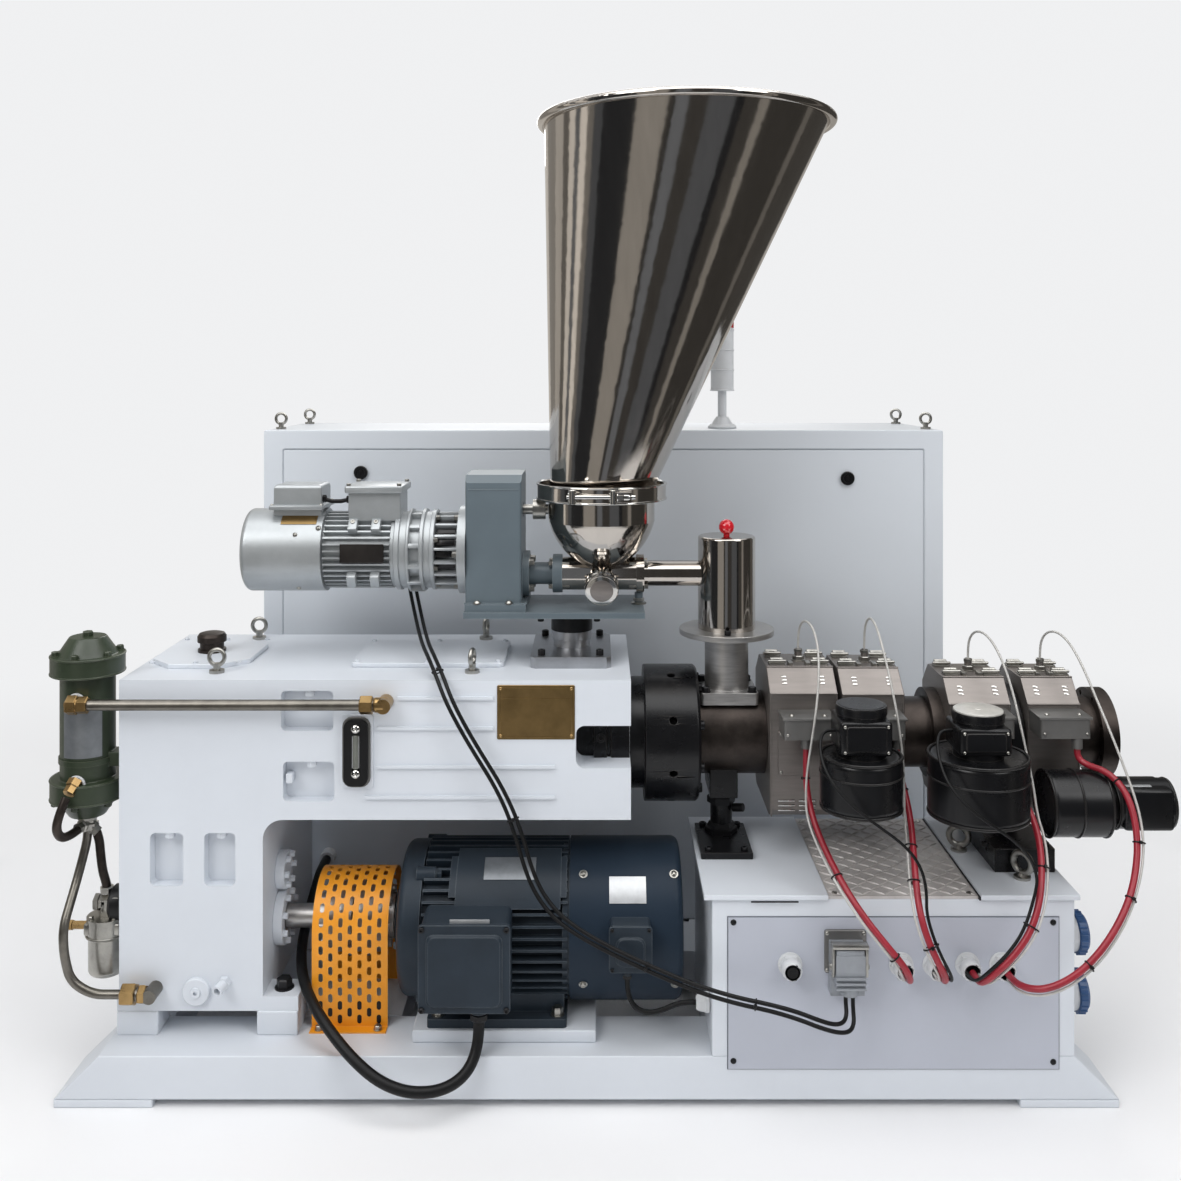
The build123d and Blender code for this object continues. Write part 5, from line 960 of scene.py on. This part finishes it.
def feeder_fittings():
    """Plates, lugs, lids and bolts of the feeder's gearmotor and gearbox."""
    lugs = list(product((44, 122, -44, -122), (-556, -506)))
    bm = bmesh.new()
    # cast lugs on the fins
    for angle, x in lugs:
        bar(bm, x, 90, angle, 10, 15, 16, 3, 2.5)
    # flange rings and clamp bars of the reducer
    for x, wide, r in [(-467, 12, 88), (-441, 7, 90), (-412, 9, 90), (-390, 10, 88)]:
        lathe(bm, (x, AXIS_Y, FEED_Z), RIGHT, [(0, r - 2), (1.5, r), (wide - 1.5, r), (wide, r - 2)], 56)
    for angle in range(15, 375, 30):
        bar(bm, -423, 80, angle, 17, 5, 12, 5, 1.5)
    # ribs along the slotted cone
    for angle in range(0, 360, 20):
        bar(bm, -356, 74, angle, 25, 3, 14, 8, 1.2)
    # box lids and rims
    box(bm, (-738, AXIS_Y - 63, 1150), (-622, AXIS_Y + 63, 1160), 2.5)
    box(bm, (-575, AXIS_Y - 63, 1186), (-450, AXIS_Y + 63, 1202), 4, 3)
    piece("gearmotor_castings", bm, SILVER)

    bm = bmesh.new()
    for angle, x in lugs:
        cap_screw(bm, *around(x, 93, angle), 5, 4)
    for angle in (62, -62, 150):
        pan_screw(bm, *around(-677, 90, angle), 5, 3.5)
    pan_screw(bm, *around(-629, 90, 52), 6, 4)
    for i in range(8):
        hex_bolt(bm, around(-380, 78, 22.5 + 45 * i)[0], RIGHT, 11, 7)
    for i in range(6):
        hex_bolt(bm, around(-330, 85, 30 + 60 * i)[0], LEFT, 12, 9)
    grid(bm, cap_screw, (-567, -458), pair(AXIS_Y, 54), [1202], UP, 5, 5)
    grid(bm, pan_screw, (-733, -627), pair(AXIS_Y, 56), [1160], UP, 3.5, 3)
    # bolts of the feed screw's flanges
    for dy, dz in bolt_circle(4, 1):
        outer = (AXIS_Y + 40 * dy, SCREW_Z + 40 * dz)
        inner = (AXIS_Y + 35 * dy, SCREW_Z + 35 * dz)
        hex_bolt(bm, (-178, *outer), RIGHT, 13, 10)
        hex_bolt(bm, (-127, *inner), LEFT, 9, 8)
        rod(bm, (-108, *inner), RIGHT, 18, 3.5, 14)
        hex_bolt(bm, (73, *inner), RIGHT, 9, 8)
        rod(bm, (40, *inner), RIGHT, 16, 3.5, 14)
    # foot bolts and the support's washer
    grid(bm, lathe, (-286, -218), (-266, -84), [953], UP, [(0, 8), (3, 8), (7, 5), (8, 2)], 20)
    lathe(bm, (62, AXIS_Y, DECK_TOP), UP, [(0, 17), (3, 17), (4, 15)], 28)
    lathe(bm, (62, AXIS_Y, DECK_TOP + 6), UP, [(0, 12), (6, 12), (7, 11)], 6)
    piece("gearmotor_bolts", bm, ZINC)

    single("gearmotor_brass_plate", BRASS_PLATE, "brass",
           curved_plate, (0, AXIS_Y, FEED_Z), RIGHT, UP, 90.2, (-712, -635), (14, 46), 1)
    single("gearmotor_dark_plate", DARK_PLATE, "black_metal",
           box, (-580, AXIS_Y - 87.5, 1040), (-486, AXIS_Y - 85, 1080), 0.6)
    # painted shade: black bars between the ribs stand for the dark inside seen through the cone's slots
    bm = bmesh.new()
    for angle in range(10, 370, 20):
        bar(bm, -356, 66, angle, 20, 6, 10, 8, 1.0)
    piece("cone_slot_shade", bm, BLACK)

    # short jumper between the two terminal boxes
    bm = bmesh.new()
    jumper_y = -205
    for x0, z0, x1, z1 in [(-628, 1172, -609, 1166), (-610, 1166, -588, 1166), (-589, 1166, -570, 1170)]:
        along = Vector((x1 - x0, 0, z1 - z0))
        rod(bm, (x0, jumper_y, z0), along, along.length + 2, 4.5, 16)
    for x, z, way in [(-628, 1172, RIGHT), (-569, 1170, LEFT)]:
        lathe(bm, (x, jumper_y, z), way, [(0, 8), (7, 8), (8, 6)], 6)
    piece("gearmotor_jumper", bm, RUBBER)

    bm = bmesh.new()
    box(bm, (-314, -263, 951), (-180, -259.5, 955), 1)
    box(bm, (-306, -261.2, 1196), (-198, -259.6, 1198), 0.5)
    piece("feeder_gearbox_seams", bm, FEED_GREY)


def pedestal_fittings():
    """Black spacer and socket screws on the feeder's milled foot."""
    bm = bmesh.new()
    lathe(bm, (-85.5, AXIS_Y, 880), UP, [(0, 43), (2, 45.5), (42, 45.5), (44, 44)], 48)
    grid(bm, cap_screw, (-148, -24), pair(AXIS_Y, 96), [846], UP, 8, 12)
    grid(bm, cap_screw, (-150, -30), [AXIS_Y - 88], [924], DOWN, 7, 8)
    piece("pedestal_spacer_and_screws", bm, BLACK_OXIDE)


def hopper_fittings():
    """Clamp toggle, rolled edges of the clamp's band and clean-out union of the hopper."""
    band, bolt_z = 142, 1187
    front = AXIS_Y - band
    bm = bmesh.new()
    # toggle on the clamp's front: trunnions, bolt and wing nut
    for x in (-82, 4):
        rod(bm, (x, front - 8, 1172), UP, 30, 8, 20)
        box(bm, (x - 9, front - 12, 1178), (x + 9, front + 8, 1196), 2)
    rod(bm, (-94, front - 9, bolt_z), RIGHT, 128, 4.5, 16)
    hex_bolt(bm, (12, front - 9, bolt_z), RIGHT, 15, 12)
    lathe(bm, (26, front - 9, bolt_z), RIGHT, [(0, 9), (10, 9), (14, 7), (24, 5)], 16)
    # rolled edges of the band
    for z in (1171, 1203):
        torus(bm, (-20, AXIS_Y, z), UP, band, 2.4, 72, 10)
    # clean-out union, a stepped nut behind its cap
    lean = math.radians(105)
    out = Vector((0, -math.sin(lean), math.cos(lean)))
    foot = Vector((-20, AXIS_Y, 1010))
    lathe(bm, foot + out * 62, out,
          [(0, 29), (2, 32), (8, 32), (10, 29), (14, 29), (16, 37), (26, 37), (28, 34)], 40)
    lathe(bm, foot + out * 92, out, [(0, 34), (2, 36), (5, 36), (6, 34), (7, 36), (11, 36), (14, 31)], 40)
    piece("hopper_clamp_and_union", bm, CHROME)
    single("union_end", SHEET, "polished_steel", lathe, foot + out * 104, out,
           [(0, 31), (1, 31), (2, 28), (1.2, 27), (3, 22), (4.6, 14), (5.4, 5)], 40)


# Cable box

def tread_lugs():
    """Raised diamond bars of the tread plate, in crossing pairs."""
    bm = bmesh.new()
    pitch, long, wide, high, lean, ridge = 22, 29, 5.2, 2.2, 38, 0.6
    x0, x1, y0, y1, top = 428, 718, -460, -60, 417
    crest = Vector((0, 0, high))
    for i, j in product(range(int((x1 - x0) / pitch)), range(int((y1 - y0) / pitch))):
        at = Vector((x0 + pitch * (i + 0.5), y0 + pitch * (j + 0.5), top))
        tilt = math.radians(lean if (i + j) % 2 else 180 - lean)
        along = Vector((math.cos(tilt), math.sin(tilt), 0)) * (long / 2)
        side = Vector((-math.sin(tilt), math.cos(tilt), 0)) * (wide / 2)
        v = [bm.verts.new(p) for p in (at + along, at + side, at - along, at - side,
                                       at + along * ridge + crest, at - along * ridge + crest)]
        for face in ((0, 1, 4), (1, 2, 5), (1, 5, 4), (2, 3, 5), (3, 0, 4), (3, 4, 5), (3, 2, 1, 0)):
            bm.faces.new([v[k] for k in face])
    piece("tread_lugs", bm, TREAD)


ENTRIES_X = [349, 567, 633, 697, 764]
PANEL_FACE = BOX_FACE - 3
PLUG_X = 457
SOCKET_Y, SOCKETS_Z, SOCKET_R = -365, (180, 300), 41


def cable_box_fittings():
    """Screws, gland nuts, plug, lifting eyes and sockets of the cable box."""
    bm = bmesh.new()
    for x, z in [(238, 95), (866, 93), (238, 367), (866, 367)]:
        pan_screw(bm, (x, PANEL_FACE, z), FRONT, 6, 3)
    # painted shade: two thin black strips stand for the gaps at the top plates, which lie in shadow
    box(bm, (272, -473.6, 408), (365, -472.8, 411), 0)
    box(bm, (719.5, -473, BOX_TOP), (722.5, -60, 418.5), 0)
    piece("cable_box_screws_and_gap_shade", bm, BLACK_OXIDE)

    # painted shade: grey strips stand for the gap round the front panel, which lies in shadow
    bm = bmesh.new()
    left, right, low, high, gap = 228, 877, 79, 376, 2
    for x0, z0, x1, z1 in [(left - gap, low - gap, right + gap, low),
                           (left - gap, high, right + gap, high + gap),
                           (left - gap, low, left, high), (right, low, right + gap, high)]:
        box(bm, (x0, BOX_FACE - 1, z0), (x1, BOX_FACE + 0.5, z1), 0)
    piece("front_panel_gap_shade", bm, GAP_SHADE)
    single("tread_screws", ZINC, "steel", grid, pan_screw, (440, 706), (-450, -72), [417], UP, 6, 3)

    bm = bmesh.new()
    for x in ENTRIES_X:
        lathe(bm, (x, PANEL_FACE, ENTRY_Z), FRONT, [(0, 24), (3, 24), (4, 22)], 32)
        lathe(bm, (x, BOX_FACE - 7, ENTRY_Z), FRONT, [(0, 22), (9, 22), (10, 20)], 6)
        lathe(bm, (x, BOX_FACE - 18, ENTRY_Z), FRONT,
              [(0, 20), (2, 20.5), (14, 20), (18, 18), (20, 15.5)], 12)
    lathe(bm, (194, -420, 185), LEFT, [(0, 22), (8, 22), (9, 20), (20, 18), (26, 14)], 6)
    piece("entry_nuts", bm, LIGHT_PLASTIC)
    single("empty_entry_seal", RUBBER, "black_cable",
           lathe, (ENTRIES_X[0], ENTRY_FACE - 0.2, ENTRY_Z), FRONT, [(0, 11), (0.8, 11), (1, 9)], 24)

    # plug hood with its ribs, gland and frame
    bm = bmesh.new()
    panel(bm, (PLUG_X, -494, 305), FRONT, 62, 54, 3, 5)
    box(bm, (430, -524, 322), (484, -496, 338), 3)
    for z in (266, 276, 286):
        box(bm, (428, -531, z - 2), (486, -526, z + 2), 1)
    lathe(bm, (PLUG_X, -508, 264), DOWN, [(0, 20), (6, 20), (7, 18), (14, 18), (15, 16)], 12)
    piece("plug_hood", bm, GREY_PLASTIC)
    # the locking lever, hinged on both sides and across the top
    bm = bmesh.new()
    for x, pin_x, way in [(422, 422, LEFT), (486, 492, RIGHT)]:
        box(bm, (x, -520, 284), (x + 6, -500, 346), 2)
        pan_screw(bm, (pin_x, -508, 300), way, 7, 4)
    box(bm, (422, -526, 340), (492, -506, 348), 2)
    piece("plug_lever", bm, ZINC)
    single("plug_frame", SHEET_DARK, "grey_paint", panel, (PLUG_X, PANEL_FACE, 312), FRONT, 82, 84, 6, 5)
    single("plug_screws", ZINC, "steel",
           grid, pan_screw, pair(PLUG_X, 36), [BOX_FACE - 9], (276, 348), FRONT, 4, 2.5)

    bm = bmesh.new()
    for x, y, turn in [(832, -392, 0.9), (746, -250, 0.3)]:
        lathe(bm, (x, y, 422), UP, [(0, 17), (5, 17), (6, 11), (12, 9)], 28)
        torus(bm, (x, y, 454), (math.sin(turn), math.cos(turn), 0), 20, 6.5, 40, 14)
    piece("box_lifting_eyes", bm, ZINC)

    # ribbed cap rings of the side sockets, and their square bases
    caps, bases = bmesh.new(), bmesh.new()
    for z in SOCKETS_Z:
        lathe(caps, (946, SOCKET_Y, z), RIGHT, [(0, 38), (2, SOCKET_R), (16, SOCKET_R), (18, 38)], 40)
        for dy, dz in bolt_circle(20, SOCKET_R, shift=0):
            rod(caps, (947, SOCKET_Y + dy, z + dz), RIGHT, 15, 2.4, 8, 0.6)
        box(bases, (910, SOCKET_Y - 48, z - 48), (918, SOCKET_Y + 48, z + 48), 4)
        lathe(bases, (918, SOCKET_Y, z), RIGHT, [(0, 40), (12, 38), (28, 36)], 36)
    piece("socket_caps", caps, BLUE)
    piece("socket_bases", bases, LIGHT_PLASTIC)


# Cabinet

LAMP = (288, 225)


def cabinet_fittings():
    """Locks, back panel and lamp rings of the cabinet."""
    bm = bmesh.new()
    for x, z in [(-610, 1201), (585, 1187)]:
        lathe(bm, (x, CAB_FACE - 4, z), FRONT, [(0, 17), (3, 17), (4.5, 15), (4.5, 11), (2.5, 10)], 32)
        box(bm, (x - 2, CAB_FACE - 9.5, z - 7), (x + 2, CAB_FACE - 6, z + 7), 0.8)
    piece("cabinet_locks", bm, BLACK_PLASTIC)
    # the back repeats the front's panel
    bm = bmesh.new()
    panel(bm, (-14, CAB_BACK, 716), BACK, 1586, 1106, 3, 5, side=LEFT)
    piece("cabinet_back_panel", bm, CABINET)
    bm = bmesh.new()
    for z in (1402, 1453, 1504, 1555):
        torus(bm, (*LAMP, z), UP, 29, 2, 48, 10)
    lathe(bm, (*LAMP, CAB_TOP + 1), UP, [(0, 36), (4, 36), (10, 30)], 40)
    piece("lamp_rings", bm, LIGHT_PLASTIC)
    single("lamp_lens", LENS, "red_plastic",
           lathe, (*LAMP, 1560), UP, [(0, 29.6), (24, 29.6), (29, 25), (31, 14)], 40)


# Oil unit

def oil_unit_fittings():
    """Bolts, unions, bare plate, tee and short pipes of the cooler and filter."""
    pipe_y, port_y, pump_z = -415, -396, 351
    bm = bmesh.new()
    for dy, dx in bolt_circle(6, 63):
        hex_bolt(bm, (COOLER[0] + dx, COOLER[1] + dy, 866), UP, 13, 9)
        hex_bolt(bm, (COOLER[0] + dx, COOLER[1] + dy, 570), DOWN, 13, 9)
    lathe(bm, (*COOLER, 901), UP, [(0, 11), (9, 11), (11, 9)], 6)
    for z in (829, 864, 572, 611):
        torus(bm, (*COOLER, z), UP, 72, 2.5, 56, 10)
    tube(bm, (*COOLER, 646), UP, 12, 56.5, 53.5, 48)
    piece("cooler_bolts", bm, GREEN)
    single("cooler_blank_plate", DULL_PLATE, "steel",
           curved_plate, (*COOLER, 0), UP, FRONT, 54.2, (664, 766), (-32, 52), 1)

    bm = bmesh.new()
    for x, z, across, long in [(-506, 779, 34, 26), (-478, 779, 28, 26), (-1072, 779, 32, 20),
                               (-1094, 779, 36, 20), (-984, 198, 40, 28), (-950, 198, 34, 14)]:
        flat = across / 1.82
        end = across / 2
        lathe(bm, (x, pipe_y, z), RIGHT, [(0, end), (2, flat), (long - 2, flat), (long, end)], 6)
    lathe(bm, (COOLER[0], port_y, 620), (-0.2, -0.75, -0.6), [(0, 15), (14, 15), (16, 12), (30, 12)], 6)
    lathe(bm, (*COOLER, 303), LEFT, [(0, 9), (30, 9), (31, 11), (42, 11), (44, 9)], 6)
    piece("oil_unions", bm, BRASS)

    bm = bmesh.new()
    torus(bm, (*FILTER, 288), UP, 40, 3, 48, 10)
    # tee under the cooler, with the two unions that leave it
    lathe(bm, (*COOLER, 536), DOWN, [(0, 20), (12, 20), (14, 17), (18, 17), (20, 21), (32, 21), (34, 18)], 6)
    lathe(bm, (*COOLER, 514), (0.75, 0, -0.66), [(0, 15), (18, 15), (20, 12), (28, 12)], 6)
    lathe(bm, (*COOLER, 514), (-0.25, -0.97, 0), [(0, 14), (20, 14), (22, 11), (34, 11)], 6)
    # filter head and its side boss
    box(bm, (-1082, -370, 292), (-1006, -312, 318), 5, 3)
    lathe(bm, (-1034, FILTER[1], pump_z), LEFT,
          [(0, 19), (10, 19), (11, 15), (24, 15), (25, 18), (34, 18), (36, 14)], 6)
    for dy, dx in bolt_circle(4, 33):
        hex_bolt(bm, (FILTER[0] + dx, FILTER[1] + dy, 325), UP, 9, 6)
    for z, r in [(325, 16), (346, 15), (372, 15)]:
        lathe(bm, (*FILTER, z), UP, [(0, r), (10, r), (12, r - 3)], 6)
    piece("filter_fittings", bm, ZINC)

    # short pipes from the tee to the lower port and to the valve
    bent_tube("cooler_port_pipe", [(-1092, -425, 596), (-1098, -438, 572), (-1106, -440, 540),
                                   (-1106, -420, 514), (-1098, -396, 508), (-1091, -372, 512)],
              9, OXIDE)
    bent_tube("valve_pipe", [(-1066, -340, 496), (-1060, -341, 482), (-1057, -342, 450),
                             (-1053, -342, 416), (-1046, -341, 392), (-1044, -340, 378)],
              9, OXIDE)

    single("pump_cap", BLACK_PLASTIC, "black_metal", lathe, (-1001, FILTER[1], pump_z), LEFT,
           [(0, 34), (4, 36), (26, 36), (32, 31), (33, 18)], 40)
    bm = bmesh.new()
    for z in (779, 612):
        torus(bm, (COOLER[0], port_y, z), FRONT, 16, 3, 32, 10)
    piece("cooler_port_rings", bm, LIGHT_PLASTIC)


for dress_up in (gearbox_fittings, coupling_fittings, motor_fittings, barrel_fittings, heater_fittings,
                 blower_fittings, feeder_fittings, pedestal_fittings, hopper_fittings, tread_lugs,
                 cable_box_fittings, cabinet_fittings, oil_unit_fittings):
    dress_up()


# Floor, backdrop and light

BACKDROP = (0.87, 0.875, 0.885, 1)
FLOOR = finish("pale_floor", (240, 240, 241), 0.60, patches=(0.01, 1.0))
FLOOR_HALF = 60
FADE_NEAR, FADE_FAR = 1.2, 4.0
AMBIENT, SEEN = 0.42, 1.0


def stage_mesh(name, verts, faces, mat):
    """A surface of the studio, which is no part of the machine."""
    mesh = bpy.data.meshes.new(name)
    mesh.from_pydata(verts, [], faces)
    mesh.materials.append(mat)
    obj = show(name, mesh)
    return obj


def fade_out(mat, near, far):
    """Turns the floor into plain backdrop from one distance to another."""
    tree = mat.node_tree
    places = node(tree, "TexCoord")["Object"]
    away = node(tree, "VectorMath", {0: places}, operation="LENGTH")["Value"]
    share = node(tree, "MapRange", {"Value": away, "From Min": near, "From Max": far},
                 interpolation_type="SMOOTHSTEP")["Result"]
    plain = node(tree, "Emission", {"Color": BACKDROP})["Emission"]
    lit = tree.nodes["Principled BSDF"].outputs["BSDF"]
    both = node(tree, "MixShader", {"Fac": share, 1: lit, 2: plain})["Shader"]
    tree.links.new(both, tree.nodes["Material Output"].inputs["Surface"])


fade_out(FLOOR, FADE_NEAR, FADE_FAR)
corners = [(x * FLOOR_HALF, y * FLOOR_HALF, 0) for x, y in [(-1, -1), (1, -1), (1, 1), (-1, 1)]]
stage_mesh("floor", corners, [(0, 1, 2, 3)], FLOOR)

# the backdrop has its full strength for the camera, mirrors and glass, and is dimmer as light
world = bpy.data.worlds.new("studio")
bpy.context.scene.world = world
world.use_nodes = True
sky = world.node_tree
rays = node(sky, "LightPath")
mirrored = node(sky, "Math", {0: rays["Is Glossy Ray"], 1: rays["Is Transmission Ray"]})["Value"]
seen = node(sky, "Math", {0: rays["Is Camera Ray"], 1: mirrored})["Value"]
strength = node(sky, "MapRange", {"Value": seen, "To Min": AMBIENT, "To Max": SEEN})["Result"]
background = sky.nodes["Background"].inputs
background["Color"].default_value = BACKDROP
sky.links.new(strength, background["Strength"])


def softbox(name, place, target, size, watts):
    """A large soft lamp that looks at a target, in metres."""
    lamp = bpy.data.lights.new(name, "AREA")
    lamp.shape = "RECTANGLE"
    lamp.size, lamp.size_y = size
    lamp.energy = watts
    obj = show(name, lamp)
    obj.location = place
    obj.rotation_euler = (Vector(target) - Vector(place)).to_track_quat("-Z", "Y").to_euler()


softbox("overhead", (0.2, -1.2, 4.6), (0, -0.2, 0.6), (5, 3.5), 125)
softbox("front_left", (-3.2, -3.8, 4.2), (-0.2, -0.2, 0.6), (2.6, 2.2), 105)
softbox("front_right", (3.4, -3.4, 3.8), (0.4, -0.2, 0.6), (2.0, 2.0), 60)
softbox("rear", (0.0, 4.4, 3.6), (0.0, 0.4, 0.6), (3.0, 2.0), 70)

# Reflection cards: tall curved walls that only mirrors see, as the hall round the machine would show
CARD_NEAR, CARD_RADIUS, CARD_LOW, CARD_HIGH, CARD_STEPS = 1.9, 6.0, 0.002, 6.5, 10
WARM, COOL = (1.0, 0.95, 0.88), (0.90, 0.96, 1.06)
CARDS = [
    # from and to, in degrees from the camera's side, tone and tint
    (-180, -150, 0.62, WARM), (-150, -128, 0.30, WARM), (-128, -113, 0.52, WARM), (-113, -104, 0.16, WARM),
    (-104, -96, 0.80, WARM), (-96, -90, 0.14, COOL), (-90, -82, 0.90, WARM), (-82, -75, 0.22, WARM),
    (-75, -66, 0.10, COOL), (-66, -38, 0.028, COOL), (-38, -14, 0.36, WARM), (-14, -9, 0.04, WARM),
    (-9, 1, 0.20, COOL), (1, 16, 0.055, WARM), (16, 36, 0.12, COOL), (36, 43, 0.018, COOL),
    (43, 56, 0.06, WARM), (56, 64, 0.30, WARM), (64, 104, 0.05, WARM), (104, 111, 0.18, WARM),
    (111, 148, 0.07, WARM), (148, 180, 0.42, WARM),
]


def glow(name, tone, tint):
    """A plain shining surface."""
    mat = bpy.data.materials.new(name)
    mat.use_nodes = True
    tree = mat.node_tree
    tree.nodes.remove(tree.nodes["Principled BSDF"])
    light = node(tree, "Emission", {"Color": (*[tone * t for t in tint], 1)})["Emission"]
    tree.links.new(light, tree.nodes["Material Output"].inputs["Surface"])
    return mat


def curved_card(name, start, end, mat):
    """A wall round the stage between two angles, with the floor before it."""
    verts, faces = [], []
    for k in range(CARD_STEPS + 1):
        a = math.radians(start + (end - start) * k / CARD_STEPS)
        for r, z in [(CARD_NEAR, CARD_LOW), (CARD_RADIUS, CARD_LOW), (CARD_RADIUS, CARD_HIGH)]:
            verts.append((r * math.sin(a), -r * math.cos(a), z))
    for k, row in product(range(CARD_STEPS), (0, 1)):
        foot = 3 * k + row
        faces.append((foot, foot + 3, foot + 4, foot + 1))
    card = stage_mesh(name, verts, faces, mat)
    card.visible_camera = False
    card.visible_diffuse = False
    card.visible_shadow = False
    card.visible_transmission = False


for i, (start, end, tone, tint) in enumerate(CARDS):
    curved_card(f"card_{i}", start, end, glow(f"card_tone_{i}", tone, tint))

bpy.context.scene.view_settings.view_transform = "Standard"
